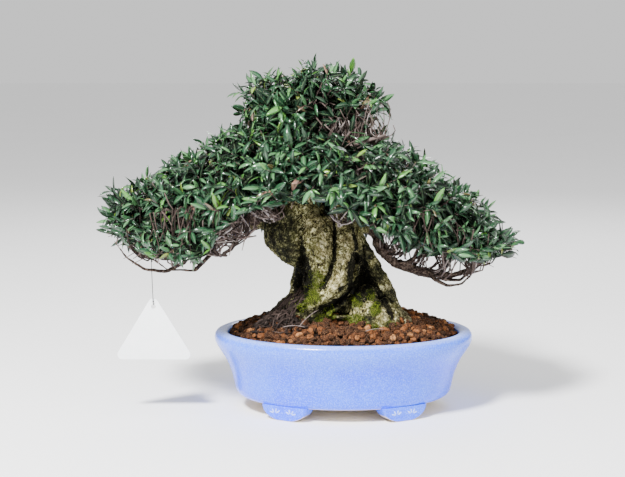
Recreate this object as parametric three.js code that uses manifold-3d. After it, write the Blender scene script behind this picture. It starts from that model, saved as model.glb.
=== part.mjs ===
// Trachelospermum bonsai in an oval glazed pot, in millimetres, +Z up, with the viewer at -Y.
// The tree, pot and soil are laid out about the pot's upright axis, and the whole is moved at the
// end so that the origin is the middle of the footprint, on the surface that the feet stand on.
import * as THREE from 'three';
import { mergeVertices } from 'three/addons/utils/BufferGeometryUtils.js';
import Module from 'manifold-3d';

const wasm = await Module();
wasm.setup();

// Driving dimensions
const potHalfWidth = 129.5;
const potDepthRatio = 0.77;
const potHeight = 79;
const footHeight = 12.5;
const floorThickness = 8;
const soilEdgeHeight = 74;
const moundHeight = 24;
const grainPitch = 16;
const leafLength = 25;
const leafWidth = 7.6;
const leafThickness = 0.7;
const widestShare = 0.45;
const leafSink = 4;
const touchGap = 0.35;
const cellGap = 0.8;

// Seeded random numbers, the same on every run
function seeded(seed) {
  let state = seed;
  return () => {
    state = (state + 0x6d2b79f5) | 0;
    let t = Math.imul(state ^ (state >>> 15), 1 | state);
    t = (t + Math.imul(t ^ (t >>> 7), 61 | t)) ^ t;
    return ((t ^ (t >>> 14)) >>> 0) / 4294967296;
  };
}

const between = (random, low, high) => low + (high - low) * random();

// Solids and meshes
function solidReady(geometry) {
  const bare = geometry.clone();
  bare.deleteAttribute('normal');
  bare.deleteAttribute('uv');
  return bare;
}

function solidOf(geometry) {
  const merged = mergeVertices(solidReady(geometry), 1e-4);
  return new wasm.Manifold(new wasm.Mesh({
    numProp: 3,
    vertProperties: merged.attributes.position.array,
    triVerts: new Uint32Array(merged.index.array),
  }));
}

function geometryOf(solid) {
  const mesh = solid.getMesh();
  const stride = mesh.numProp;
  const position = new Float32Array(mesh.numVert * 3);
  for (let i = 0; i < mesh.numVert; i++) {
    position.set(mesh.vertProperties.subarray(i * stride, i * stride + 3), i * 3);
  }
  const geometry = new THREE.BufferGeometry();
  geometry.setAttribute('position', new THREE.BufferAttribute(position, 3));
  geometry.setIndex(new THREE.BufferAttribute(mesh.triVerts, 1));
  geometry.computeVertexNormals();
  return geometry;
}

const joined = (solids) => solids.reduce((whole, piece) => whole.add(piece));

function largestBody(solid) {
  return solid.decompose().reduce((best, body) => (body.volume() > best.volume() ? body : best));
}

// A tapered limb: a closed cylinder whose rings are carried along a smooth curve.
// Each point is [x, y, z, radius]. Flutes raise lengthwise ribs that turn with the twist.
// Grow thickens the limb and draws out both its ends.
function limbGeometry(points, { sides, steps, grow = 0, flutes = 0, depth = 0, twist = 0 }) {
  const line = points.map(([x, y, z]) => new THREE.Vector3(x, y, z));
  const curve = new THREE.CatmullRomCurve3(line, false, 'centripetal');
  curve.arcLengthDivisions = 60;
  const frames = curve.computeFrenetFrames(steps, false);
  const geometry = new THREE.CylinderGeometry(1, 1, 1, sides, steps);
  const position = geometry.attributes.position;
  const placed = new THREE.Vector3();
  for (let i = 0; i < position.count; i++) {
    const along = THREE.MathUtils.clamp(0.5 - position.getY(i), 0, 1);
    const ring = Math.round(along * steps);
    const spread = Math.hypot(position.getX(i), position.getZ(i));
    const angle = Math.atan2(position.getZ(i), position.getX(i));
    const share = curve.getUtoTmapping(along) * (points.length - 1);
    const first = Math.min(Math.floor(share), points.length - 2);
    const radius = THREE.MathUtils.lerp(points[first][3], points[first + 1][3], share - first);
    const ribbed = radius * (1 + depth * Math.cos(flutes * angle + twist * along)) + grow;
    curve.getPointAt(along, placed);
    placed.addScaledVector(frames.normals[ring], Math.cos(angle) * spread * ribbed);
    placed.addScaledVector(frames.binormals[ring], Math.sin(angle) * spread * ribbed);
    if (ring === 0) placed.addScaledVector(frames.tangents[ring], -grow);
    if (ring === steps) placed.addScaledVector(frames.tangents[ring], grow);
    position.setXYZ(i, placed.x, placed.y, placed.z);
  }
  return geometry;
}

// Trunk: strands that grew together, each [x, y, z, radius] from its lower or inner end
const trunkStrands = [
  { // main stem, from the soil up to the crown
    points: [[7, 12, 74, 38], [5, 11, 96, 31], [4, 10, 112, 25], [-8, 2, 140, 27], [-34, 0, 168, 31],
      [-44, 0, 192, 26], [-38, 4, 216, 17], [-26, 6, 248, 11], [-32, 2, 284, 7], [-34, 0, 324, 3.5]],
    sides: 10, steps: 12, flutes: 3, depth: 0.05, twist: 3,
  },
  { // swollen shoulder that carries the left limb
    points: [[-10, -4, 158, 15], [-34, -8, 164, 26], [-58, -5, 176, 24], [-66, 0, 190, 14]],
    sides: 9, steps: 5,
  },
  { // lobe at the front that ends above the twisted strand
    points: [[-24, -12, 190, 12], [-22, -24, 168, 15], [-20, -30, 146, 15.5], [-27, -30, 128, 13.5],
      [-36, -24, 112, 9]],
    sides: 8, steps: 6,
  },
  { // twisted strand that crosses the front from upper right to the left foot
    points: [[2, -6, 190, 12], [4, -22, 166, 14.5], [3, -32, 144, 15], [-8, -40, 124, 15],
      [-24, -42, 110, 12.5], [-40, -38, 100, 10], [-58, -32, 90, 9], [-78, -26, 74, 7]],
    sides: 8, steps: 12,
  },
  { // right leg
    points: [[0, 2, 188, 12], [9, -4, 166, 13.5], [24, -6, 143, 12.5], [37, -8, 120, 12], [46, -10, 98, 13],
      [53, -12, 74, 14]],
    sides: 8, steps: 7,
  },
  { // left foot, low and wide
    points: [[-26, 0, 122, 14], [-46, -6, 106, 13], [-64, -8, 92, 11.5], [-84, -10, 77, 8]],
    sides: 7, steps: 5,
  },
  { // strand behind the left hollow
    points: [[-30, 12, 150, 12], [-42, 12, 130, 10], [-44, 10, 112, 11], [-52, 10, 78, 14]],
    sides: 7, steps: 4,
  },
  { // mossy buttress at the front, right of the middle
    points: [[22, -24, 122, 8], [22, -32, 106, 15], [20, -42, 76, 20]],
    sides: 8, steps: 3,
  },
  { // second lobe of the buttress
    points: [[38, -26, 112, 7], [42, -34, 98, 12], [42, -38, 76, 14]],
    sides: 7, steps: 2,
  },
  { // low mossy saddle between the foot and the buttress
    points: [[-34, -36, 88, 10], [-14, -42, 88, 13], [6, -42, 86, 13]],
    sides: 7, steps: 3,
  },
  { // root stub at the right
    points: [[52, 0, 88, 9], [62, 0, 92, 7], [68, 1, 88, 4.5]],
    sides: 6, steps: 2,
  },
  { // roots at the back
    points: [[2, 14, 150, 14], [4, 30, 120, 15], [-4, 44, 92, 13], [-8, 52, 76, 9]],
    sides: 7, steps: 5,
  },
  {
    points: [[20, 10, 140, 10], [34, 24, 112, 12], [46, 34, 88, 11], [52, 38, 76, 9]],
    sides: 7, steps: 4,
  },
  {
    points: [[-34, 14, 120, 10], [-50, 28, 98, 10], [-68, 36, 77, 7]],
    sides: 6, steps: 3,
  },
];

// Canopy: a leafy umbrella with a smaller crown above it. Each row of a profile is a place along
// X with the height of the leaf tips there, seen from the front, and the height of the lower rim.
const umbrella = {
  middle: -32,
  halfLength: 211,
  halfDepth: 126,
  profile: [[-243, 204, 184], [-222, 232, 164], [-192, 246, 155], [-162, 264, 152], [-132, 282, 158],
    [-102, 294, 168], [-72, 303, 190], [-42, 306, 220], [-12, 303, 222], [18, 291, 200], [48, 274, 184],
    [78, 260, 170], [108, 240, 156], [138, 214, 152], [158, 194, 152], [179, 168, 154]],
  columns: 88,
  rows: 11,
  blades: 52,
};
const crown = {
  middle: -32,
  halfLength: 78,
  halfDepth: 68,
  profile: [[-110, 316, 298], [-98, 333, 292], [-84, 342, 290], [-58, 345, 288], [-32, 353, 288],
    [-8, 350, 288], [12, 339, 288], [32, 329, 290], [40, 316, 292], [46, 303, 294]],
  columns: 42,
  rows: 7,
  blades: 22,
};
const crownFloor = 292;
const crownTilt = 0.05;
const leafStand = 9;
const shellDepth = 24;
const rimLift = 4;
const archPower = 0.8;
const apexAngle = 0.3;
const tipRise = 8;
const tipLean = 0.75;
const tipSwing = 3;
const hangDrop = 0.5;
const depthPull = 1.6;

// Leafy branches: the middle of each in plan, and where the limb that carries it starts
const branches = [
  { name: 'foliage_left_tip', tier: umbrella, at: [-206, 0] },
  { name: 'foliage_left_front', tier: umbrella, at: [-136, -54], limb: [-84, 0, 188, 8] },
  { name: 'foliage_left_back', tier: umbrella, at: [-136, 56], limb: [-84, 4, 188, 8] },
  { name: 'foliage_front_middle', tier: umbrella, at: [-42, -66], limb: [-34, -6, 208, 9] },
  { name: 'foliage_back_middle', tier: umbrella, at: [-40, 66], limb: [-32, 8, 208, 9] },
  { name: 'foliage_right_front', tier: umbrella, at: [52, -54], limb: [-8, -4, 198, 8] },
  { name: 'foliage_right_back', tier: umbrella, at: [56, 58], limb: [-6, 8, 196, 8] },
  { name: 'foliage_right_tip', tier: umbrella, at: [136, 0] },
  { name: 'foliage_crown_left', tier: crown, at: [-70, -8], limb: [-30, 4, 262, 6] },
  { name: 'foliage_crown_right', tier: crown, at: [8, 4], limb: [-28, 5, 254, 6] },
];

function profileAt(tier, x) {
  const rows = tier.profile;
  const last = rows.findIndex((row, i) => i > 0 && (row[0] >= x || i === rows.length - 1));
  const [x0, top0, rim0] = rows[last - 1];
  const [x1, top1, rim1] = rows[last];
  const share = THREE.MathUtils.clamp((x - x0) / (x1 - x0), 0, 1);
  const top = THREE.MathUtils.lerp(top0, top1, share);
  const rim = THREE.MathUtils.lerp(rim0, rim1, share);
  return { top, rim };
}

// A direction on the unit sphere becomes a point on the dome, so far in from the leaf tips
function domePoint(tier, unit, inset) {
  const x = tier.middle + unit.x * (tier.halfLength - inset);
  const y = unit.y * (tier.halfDepth - inset);
  const { top, rim } = profileAt(tier, x);
  const low = rim + rimLift;
  const share = Math.min(1, Math.abs(unit.z) / Math.max(0.001, Math.sqrt(1 - unit.x * unit.x)));
  const rise = Math.max(0, top - inset - low) * Math.pow(share, archPower);
  return new THREE.Vector3(x, y, low + rise);
}

function domeNormal(tier, unit, inset) {
  const nudge = 0.03;
  const sideways = new THREE.Vector3(unit.y, -unit.x, 0.0001).cross(unit).normalize();
  const around = new THREE.Vector3().crossVectors(unit, sideways);
  const beside = (axis, reach) => {
    const moved = unit.clone().addScaledVector(axis, reach).normalize();
    return domePoint(tier, moved, inset);
  };
  const first = beside(sideways, nudge).sub(beside(sideways, -nudge));
  const second = beside(around, nudge).sub(beside(around, -nudge));
  const normal = first.cross(second).normalize();
  return normal.dot(unit) < 0 ? normal.negate() : normal;
}

// Limbs that leave the trunk, and the branchlets that run out under the foliage
const limbs = [
  { // low limb to the left tip
    points: [[-50, 0, 184, 15], [-78, 2, 190, 11], [-108, 4, 184, 8.5], [-140, 2, 168, 6.5],
      [-172, -4, 154, 4.6], [-204, -8, 154, 3.2], [-222, -6, 172, 2]],
    sides: 6, steps: 7,
  },
  { // low limb to the right tip, which leaves the trunk level and then drops
    points: [[-4, 6, 186, 11], [16, 8, 186, 8], [29, 6, 180, 6.4], [34, 2, 167, 5.8],
      [42, -2, 154, 5.6], [54, -4, 145, 5.4], [68, -4, 140, 5], [84, -4, 138, 4.4],
      [104, -6, 133, 3.4], [130, -6, 142, 2.6], [156, -2, 164, 1.8]],
    sides: 6, steps: 10,
  },
];

// Limbs hidden under the leaves rise from the trunk to the middle of the shell of each branch
const limbBend = { across: 0.45, up: 0.35, lift: 6, thin: 0.6 };
const limbEndRadius = 2.4;

function hiddenLimb({ tier, at, limb }) {
  const [x, y, z, radius] = limb;
  const flatX = (at[0] - tier.middle) / (tier.halfLength - leafStand);
  const flatY = at[1] / (tier.halfDepth - leafStand);
  const unit = new THREE.Vector3(flatX, flatY, Math.sqrt(1 - flatX * flatX - flatY * flatY));
  const end = domePoint(tier, unit, leafStand + shellDepth / 2);
  const bendX = THREE.MathUtils.lerp(x, end.x, limbBend.across);
  const bendY = THREE.MathUtils.lerp(y, end.y, limbBend.across);
  const bendZ = THREE.MathUtils.lerp(z, end.z, limbBend.up) + limbBend.lift;
  return {
    points: [
      [x, y, z, radius],
      [bendX, bendY, bendZ, radius * limbBend.thin],
      [end.x, end.y, end.z, limbEndRadius],
    ],
    sides: 5, steps: 3,
  };
}

limbs.push(...branches.filter((branch) => branch.limb).map(hiddenLimb));

// Branchlets seen under the left and right tips: each leaves a limb and curves up into the leaves
const branchlets = [
  [[-112, 4, 182, 4], [-130, -16, 158, 3], [-143, -28, 146, 2.8], [-153, -34, 138, 2.6],
    [-164, -34, 147, 2.2], [-176, -34, 142, 2], [-184, -34, 152, 1.8], [-194, -34, 156, 1.6],
    [-206, -30, 172, 1.2]],
  [[-150, 0, 163, 3.6], [-164, -16, 142, 2.8], [-186, -22, 140, 2.4], [-208, -20, 147, 2],
    [-228, -14, 170, 1.3]],
  [[-150, 0, 163, 3.4], [-170, 14, 148, 2.6], [-196, 22, 149, 2], [-214, 22, 168, 1.4]],
  [[-100, 4, 186, 4], [-110, -30, 164, 2.8], [-120, -48, 158, 2.2], [-128, -62, 174, 1.6]],
  [[84, -4, 138, 4], [92, -16, 130, 2.8], [108, -24, 125, 2.2], [122, -28, 133, 1.7], [132, -30, 152, 1.3]],
  [[88, -4, 137, 3.6], [106, 4, 127, 2.6], [124, 8, 129, 2], [140, 10, 150, 1.4]],
  [[68, -4, 140, 4], [80, 14, 131, 2.8], [98, 24, 129, 2.2], [114, 28, 151, 1.5]],
  [[44, -2, 153, 4.4], [50, -14, 160, 2.6], [53, -22, 184, 1.8]],
  [[60, -4, 142, 4.2], [70, -13, 152, 2.4], [76, -20, 178, 1.6]],
];

const woodSettings = [
  ...trunkStrands,
  ...limbs,
  ...branchlets.map((points) => ({ points, sides: 5, steps: points.length })),
];

function woodSolid(grow) {
  return joined(woodSettings.map((strand) => solidOf(limbGeometry(strand.points, { ...strand, grow }))));
}

const wood = largestBody(woodSolid(0));
const woodRoom = woodSolid(touchGap);

// Pot: one fired piece, an oval bowl with a rolled lip, four cloud feet and two drain holes.
// Each row of its outer wall is a share of its half width and a rise above the feet.
const potSides = 40;
const potOuter = [[0.795, 0], [0.836, 4.5], [0.855, 18], [0.892, 32], [0.952, 45.5], [0.992, 55],
  [1, 59.5], [0.975, 66]];
const lipInset = 9;
const lipDrop = 7;
const soilWallInset = 15;
const floorHalfWidth = 96;
const drainHoleRadius = 9;
const drainHoleX = 46;
const footAngles = [55, 125, 235, 305];
const footWidth = 48;
const footDepth = 17;
const footStandWidth = 20;
const footRoot = 3;
const footReach = 0.74 * potHalfWidth;
const floorTop = footHeight + floorThickness;

function ovalLathe(rows) {
  const section = rows.map(([radius, height]) => new THREE.Vector2(radius, height));
  return new THREE.LatheGeometry(section, potSides).rotateX(Math.PI / 2).scale(1, potDepthRatio, 1);
}

function bowlSolid() {
  return solidOf(ovalLathe([
    [0, footHeight],
    ...potOuter.map(([share, rise]) => [share * potHalfWidth, footHeight + rise]),
    [potHalfWidth - lipInset, potHeight],
    [potHalfWidth - soilWallInset, potHeight - lipDrop],
    [floorHalfWidth, floorTop],
    [0, floorTop],
  ]));
}

// A foot is a cloud seen from the front: a shoulder at each side and a flat stand in the middle
function footSolid(angleDeg) {
  const half = footWidth / 2;
  const stand = footStandWidth / 2;
  const shoulder = 0.3 * footHeight;
  const outline = new THREE.Shape();
  outline.moveTo(-half, footHeight + footRoot);
  outline.lineTo(-half, footHeight - 1);
  outline.quadraticCurveTo(-half + 3, shoulder, -half + 9, shoulder);
  outline.quadraticCurveTo(-stand - 2, 0, -stand, 0);
  outline.lineTo(stand, 0);
  outline.quadraticCurveTo(stand + 2, 0, half - 9, shoulder);
  outline.quadraticCurveTo(half - 3, shoulder, half, footHeight - 1);
  outline.lineTo(half, footHeight + footRoot);
  const angle = THREE.MathUtils.degToRad(angleDeg);
  const x = footReach * Math.cos(angle);
  const y = footReach * potDepthRatio * Math.sin(angle);
  const facing = Math.atan2(Math.sin(angle) / potDepthRatio, Math.cos(angle));
  const settings = { depth: footDepth, bevelEnabled: false, curveSegments: 2 };
  const foot = new THREE.ExtrudeGeometry(outline, settings).translate(0, 0, -footDepth / 2);
  return solidOf(foot.rotateX(Math.PI / 2).rotateZ(facing + Math.PI / 2).translate(x, y, 0));
}

function drainHole(x) {
  const depth = floorTop + floorThickness;
  return solidOf(new THREE.CylinderGeometry(drainHoleRadius, drainHoleRadius, depth, 14)
    .rotateX(Math.PI / 2).translate(x, 0, depth / 2));
}

const pot = [-drainHoleX, drainHoleX].reduce((body, x) => body.subtract(drainHole(x)),
  joined([bowlSolid(), ...footAngles.map(footSolid)]));

// Drain screens: a plastic net over each drain hole, lying on the pot's floor under the soil
const screenSize = 30;
const screenThickness = 1.2;
const screenHoles = 3;
const screenBar = 2.4;

function screenSolid(x) {
  const plate = new THREE.BoxGeometry(screenSize, screenSize, screenThickness);
  const pitch = (screenSize - screenBar) / screenHoles;
  const firstHole = -((screenHoles - 1) / 2) * pitch;
  let net = solidOf(plate.translate(x, 0, floorTop + touchGap + screenThickness / 2));
  for (let column = 0; column < screenHoles; column++) {
    for (let row = 0; row < screenHoles; row++) {
      const hole = new THREE.BoxGeometry(pitch - screenBar, pitch - screenBar, 4 * screenThickness);
      const holeX = x + firstHole + column * pitch;
      const holeY = firstHole + row * pitch;
      net = net.subtract(solidOf(hole.translate(holeX, holeY, floorTop)));
    }
  }
  return net;
}

// Soil: fills the pot, and its grains are raised on a mound around the trunk
const moundPower = 0.8;
const grainRise = [1.6, 3.4];
const seamRise = [-1.6, -0.4];
const grainShift = 0.16;

function soilHeight(x, y) {
  const share = Math.min(1, Math.hypot(x, y / potDepthRatio) / (potHalfWidth - soilWallInset));
  return soilEdgeHeight + moundHeight * Math.pow(1 - share * share, moundPower);
}

// A slab with a slanted grid on top, in which every third corner is the peak of a grain
function soilTopGeometry() {
  const random = seeded(71);
  const step = grainPitch / Math.sqrt(3);
  const rowStep = step * Math.sqrt(3) / 2;
  const columns = Math.ceil((2.8 * potHalfWidth) / step);
  const rows = Math.ceil((1.8 * potHalfWidth * potDepthRatio) / rowStep);
  const slab = new THREE.BoxGeometry(columns * step, rows * rowStep, potHeight, columns, rows, 1);
  const merged = mergeVertices(solidReady(slab), 1e-3);
  const position = merged.attributes.position;
  for (let i = 0; i < position.count; i++) {
    const column = Math.round(position.getX(i) / step + columns / 2);
    const row = Math.round(position.getY(i) / rowStep + rows / 2);
    const x = position.getX(i) + ((row - rows / 2) * step) / 2;
    const y = position.getY(i);
    if (position.getZ(i) < 0) {
      position.setXYZ(i, x, y, 0);
      continue;
    }
    const isPeak = (column - row + 3 * rows) % 3 === 0;
    const rise = between(random, ...(isPeak ? grainRise : seamRise));
    const shift = () => between(random, -grainShift, grainShift) * step;
    position.setXYZ(i, x + shift(), y + shift(), soilHeight(x, y) + rise);
  }
  return merged;
}

function soilPlugGeometry() {
  const edge = potHalfWidth - soilWallInset - 1.5 * touchGap;
  const above = potHeight + 2 * moundHeight;
  return ovalLathe([
    [0, floorTop + touchGap],
    [floorHalfWidth - touchGap, floorTop + touchGap],
    [edge, potHeight - lipDrop],
    [edge, above],
    [0, above],
  ]);
}

function screenRoom(x) {
  const size = screenSize + 2 * touchGap;
  const height = screenThickness + 2 * touchGap;
  return solidOf(new THREE.BoxGeometry(size, size, height).translate(x, 0, floorTop + height / 2));
}

const soil = largestBody([-drainHoleX, drainHoleX].reduce((body, x) => body.subtract(screenRoom(x)),
  solidOf(soilPlugGeometry()).intersect(solidOf(soilTopGeometry())).subtract(woodRoom)));

// The way that a leaf lies when it hangs freely: outward and down along the dome
function downhill(tier, unit, normal) {
  const point = domePoint(tier, unit, leafStand);
  const outward = new THREE.Vector3(point.x - tier.middle, point.y * depthPull, 0).normalize();
  outward.z = -hangDrop;
  return outward.addScaledVector(normal, -outward.dot(normal)).normalize();
}

// The direction of a corner of a dome's net, in a column and a ring counted from the top
function netUnit(tier, column, ring) {
  if (ring === 0) return new THREE.Vector3(0, 0, 1);
  const slope = THREE.MathUtils.lerp(apexAngle, Math.PI / 2, (ring - 1) / (tier.rows - 1));
  const turn = (2 * Math.PI * column) / tier.columns;
  const flat = Math.sin(slope);
  return new THREE.Vector3(flat * Math.cos(turn), flat * Math.sin(turn), Math.max(0, Math.cos(slope)));
}

// Leaves that overlap like thatch, raised from a dome's net of lozenges. The middle of each lozenge
// is drawn out and downhill into the tip of a leaf that hangs over the root of the next one.
function thatchSolid(tier, random) {
  const net = new THREE.SphereGeometry(1, tier.columns, tier.rows + 1);
  const position = net.attributes.position;
  const ringSize = tier.columns + 1;
  const tips = new Map();
  for (let i = 0; i < position.count; i++) {
    const ring = Math.floor(i / ringSize);
    const column = (i % ringSize) % tier.columns;
    if (ring > tier.rows) {
      const rim = profileAt(tier, tier.middle).rim;
      position.setXYZ(i, tier.middle, 0, rim + rimLift);
      continue;
    }
    const key = ring === 0 ? 'apex' : `${column},${ring}`;
    if (!tips.has(key)) {
      const unit = netUnit(tier, column, ring);
      const spot = domePoint(tier, unit, leafStand);
      if (ring > 0 && (column + ring) % 2 === 1) {
        const normal = domeNormal(tier, unit, leafStand);
        const hang = downhill(tier, unit, normal);
        const below = netUnit(tier, column, Math.min(ring + 1, tier.rows));
        const next = domePoint(tier, below, leafStand);
        const reach = ring < tier.rows ? spot.distanceTo(next) : 0.5 * leafLength;
        const swing = new THREE.Vector3().crossVectors(normal, hang);
        spot.addScaledVector(normal, tipRise * between(random, 0.6, 1.25))
          .addScaledVector(hang, reach * tipLean * between(random, 0.7, 1.5))
          .addScaledVector(swing, between(random, -tipSwing, tipSwing));
      }
      tips.set(key, spot);
    }
    const spot = tips.get(key);
    position.setXYZ(i, spot.x, spot.y, spot.z);
  }
  return solidOf(turnedDiagonals(net, tier.columns));
}

// Every other square of a net is split the other way, so that four triangles meet at each leaf tip
function turnedDiagonals(net, columns) {
  const index = net.index.array;
  const ringSize = columns + 1;
  for (let i = 0; i + 5 < index.length; i += 3) {
    const [a, b, d, b2, c, d2] = index.slice(i, i + 6);
    if (b !== b2 || d !== d2) continue;
    const ring = Math.floor(b / ringSize);
    const column = (b % ringSize) % columns;
    if ((column + ring) % 2 === 1) index.set([a, b, c, a, c, d], i);
    i += 3;
  }
  return net;
}

// The leafy shell of a tier, open below where the limbs run
function tierShell(tier, seed) {
  const hollow = new THREE.IcosahedronGeometry(1, 2);
  const position = hollow.attributes.position;
  for (let i = 0; i < position.count; i++) {
    const unit = new THREE.Vector3().fromBufferAttribute(position, i).normalize();
    const spot = domePoint(tier, unit, leafStand + shellDepth);
    if (unit.z < -0.02) spot.z = profileAt(tier, spot.x).rim - 2 * shellDepth;
    position.setXYZ(i, spot.x, spot.y, spot.z);
  }
  return thatchSolid(tier, seeded(seed)).subtract(solidOf(hollow));
}

// Upright walls between a branch and the others of its tier, and the floor under the crown
function cellWalls(branch) {
  const here = new THREE.Vector3(...branch.at, 0);
  const others = branches.filter((other) => other !== branch && other.tier === branch.tier);
  const walls = others.map((other) => {
    const there = new THREE.Vector3(...other.at, 0);
    const inward = here.clone().sub(there).normalize();
    const halfway = here.clone().add(there).multiplyScalar(0.5);
    return { normal: inward, offset: inward.dot(halfway) + cellGap / 2 };
  });
  const up = new THREE.Vector3(crownTilt, 0, 1).normalize();
  const level = up.dot(new THREE.Vector3(crown.middle, 0, crownFloor));
  const side = branch.tier === crown ? 1 : -1;
  walls.push({ normal: up.multiplyScalar(side), offset: side * level + cellGap / 2 });
  return walls;
}

const insideWalls = (walls, point) => walls.every(({ normal, offset }) => normal.dot(point) > offset);

// One leaf blade along +X: a lance of even thickness, bent down across its widest place
function leafGeometry(length, width, droop) {
  const widest = widestShare * length;
  const outline = new THREE.Shape([
    new THREE.Vector2(0, 0),
    new THREE.Vector2(widest, -width / 2),
    new THREE.Vector2(length, 0),
    new THREE.Vector2(widest, width / 2),
  ]);
  const blade = new THREE.ExtrudeGeometry(outline, { depth: leafThickness, bevelEnabled: false });
  const position = blade.attributes.position;
  for (let i = 0; i < position.count; i++) {
    if (position.getX(i) > 0.9 * length) position.setZ(i, position.getZ(i) - droop);
  }
  return blade;
}

// Places spread evenly over a tier: each is the farthest of several random ones from those before it
const spotTries = 14;
const lowestSpot = 0.04;

function evenSpots(tier, seed) {
  const random = seeded(seed);
  const spots = [];
  while (spots.length < tier.blades) {
    let best = null;
    for (let i = 0; i < spotTries; i++) {
      const height = between(random, lowestSpot, 1);
      const turn = between(random, 0, 2 * Math.PI);
      const flat = Math.sqrt(1 - height * height);
      const unit = new THREE.Vector3(flat * Math.cos(turn), flat * Math.sin(turn), height);
      const point = domePoint(tier, unit, leafStand);
      const room = Math.min(Infinity, ...spots.map((spot) => spot.point.distanceTo(point)));
      if (!best || room > best.room) best = { unit, point, room };
    }
    spots.push(best);
  }
  return spots;
}

function cornersOf(geometry) {
  const position = geometry.attributes.position;
  const places = Array.from({ length: position.count }, (_, i) => i);
  return places.map((i) => new THREE.Vector3().fromBufferAttribute(position, i));
}

// A blade stands out of the thatch. Of several aims that stay inside the walls, it takes the one
// that keeps farthest from the blades already there. Each try may swing it wider than the last.
const bladeTries = 16;
const bladeSwing = { first: 0.9, more: 0.12 };
const bladeLift = [0.45, 0.95];
const bladeSize = [0.9, 1.14];
const bladeDroop = [0.1, 0.3];

function bladeSolid(tier, spot, walls, taken, random) {
  const normal = domeNormal(tier, spot.unit, leafStand);
  const hang = downhill(tier, spot.unit, normal);
  let best = null;
  for (let attempt = 0; attempt < bladeTries; attempt++) {
    const swing = between(random, -1, 1) * (bladeSwing.first + attempt * bladeSwing.more);
    const lift = between(random, ...bladeLift);
    const axis = hang.clone().applyAxisAngle(normal, swing).multiplyScalar(Math.cos(lift))
      .addScaledVector(normal, Math.sin(lift)).normalize();
    const side = new THREE.Vector3().crossVectors(normal, axis).normalize();
    const face = new THREE.Vector3().crossVectors(axis, side);
    const size = between(random, ...bladeSize);
    const base = spot.point.clone().addScaledVector(axis, -leafSink)
      .addScaledVector(normal, -leafSink / 3);
    const droop = leafLength * between(random, ...bladeDroop);
    const blade = leafGeometry(leafLength * size, leafWidth * size, droop);
    blade.applyMatrix4(new THREE.Matrix4().makeBasis(axis, side, face).setPosition(base));
    if (!cornersOf(blade).every((corner) => insideWalls(walls, corner))) continue;
    const middle = base.clone().addScaledVector(axis, leafLength * 0.7);
    const room = Math.min(Infinity, ...taken.map((other) => other.distanceTo(middle)));
    if (!best || room > best.room) best = { blade, middle, room };
  }
  if (!best) return null;
  taken.push(best.middle);
  return solidOf(best.blade);
}

const tierShells = new Map([[umbrella, tierShell(umbrella, 31)], [crown, tierShell(crown, 32)]]);
const tierSpots = new Map([[umbrella, evenSpots(umbrella, 33)], [crown, evenSpots(crown, 34)]]);
const bladeSeed = 400;

function foliageSolid(branch, index) {
  const random = seeded(bladeSeed + index);
  const walls = cellWalls(branch);
  const trimmed = (body, { normal, offset }) => body.trimByPlane(normal.toArray(), offset);
  const core = walls.reduce(trimmed, tierShells.get(branch.tier));
  const taken = [];
  const blades = tierSpots.get(branch.tier)
    .filter((spot) => insideWalls(walls, spot.point))
    .map((spot) => bladeSolid(branch.tier, spot, walls, taken, random))
    .filter((blade) => blade !== null);
  return largestBody(joined([core, ...blades]).subtract(woodRoom));
}

// Tag: a blank triangle of white plastic with round corners, on a thin string hooked over a twig
const tagWidth = 72;
const tagHeight = 61;
const tagThickness = 1;
const tagCorner = 5;
const tagHoleRadius = 2.4;
const tagTop = { x: -187.3, y: -34, z: 115 };
const tagHoleDrop = 8;
const stringDiameter = 0.7;
const stringRoute = [[-188.5, -31.3, 151.4], [-188.5, -31.3, 154.4], [-188.5, -32, 156.2],
  [-188.5, -33.75, 156.9], [-188.5, -35.5, 156.2], [-188.5, -36.2, 154.4], [-188.4, -36.3, 148],
  [-188.1, -36.3, 138], [-187.8, -36.2, 128], [-187.5, -36.2, 119], [-187.3, -36.2, 111.4],
  [-187.3, -35.6, 109.4], [-187.3, -34, 108.5], [-187.3, -32.4, 109.4], [-187.3, -31.8, 111.4]];
const stringSteps = 36;

function tagSolid() {
  const side = tagWidth / 2 - tagCorner;
  const foot = -tagHeight + tagCorner;
  const slope = Math.atan2(-foot - tagCorner, side);
  const outline = new THREE.Shape();
  outline.absarc(0, -tagCorner, tagCorner, Math.PI / 2 - slope, Math.PI / 2 + slope, false);
  outline.absarc(-side, foot, tagCorner, Math.PI / 2 + slope, (3 * Math.PI) / 2, false);
  outline.absarc(side, foot, tagCorner, -Math.PI / 2, Math.PI / 2 - slope, false);
  const hole = new THREE.Path().absarc(0, -tagHoleDrop, tagHoleRadius, 0, 2 * Math.PI, true);
  outline.holes.push(hole);
  const settings = { depth: tagThickness, bevelEnabled: false, curveSegments: 4 };
  const plate = new THREE.ExtrudeGeometry(outline, settings).rotateX(Math.PI / 2);
  return solidOf(plate.translate(tagTop.x, tagTop.y + tagThickness / 2, tagTop.z));
}

function stringSolid() {
  const section = new THREE.Shape().absarc(0, 0, stringDiameter / 2, 0, 2 * Math.PI, false);
  const route = new THREE.CatmullRomCurve3(stringRoute.map((point) => new THREE.Vector3(...point)));
  const settings = { extrudePath: route, steps: stringSteps, curveSegments: 4 };
  return solidOf(new THREE.ExtrudeGeometry(section, settings));
}

// The group, with each piece in its own colour
const root = new THREE.Group();

function addPiece(name, solid, color, roughness) {
  const material = new THREE.MeshStandardMaterial({ color, roughness, metalness: 0 });
  const mesh = new THREE.Mesh(geometryOf(solid), material);
  mesh.name = name;
  root.add(mesh);
  return mesh;
}

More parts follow.
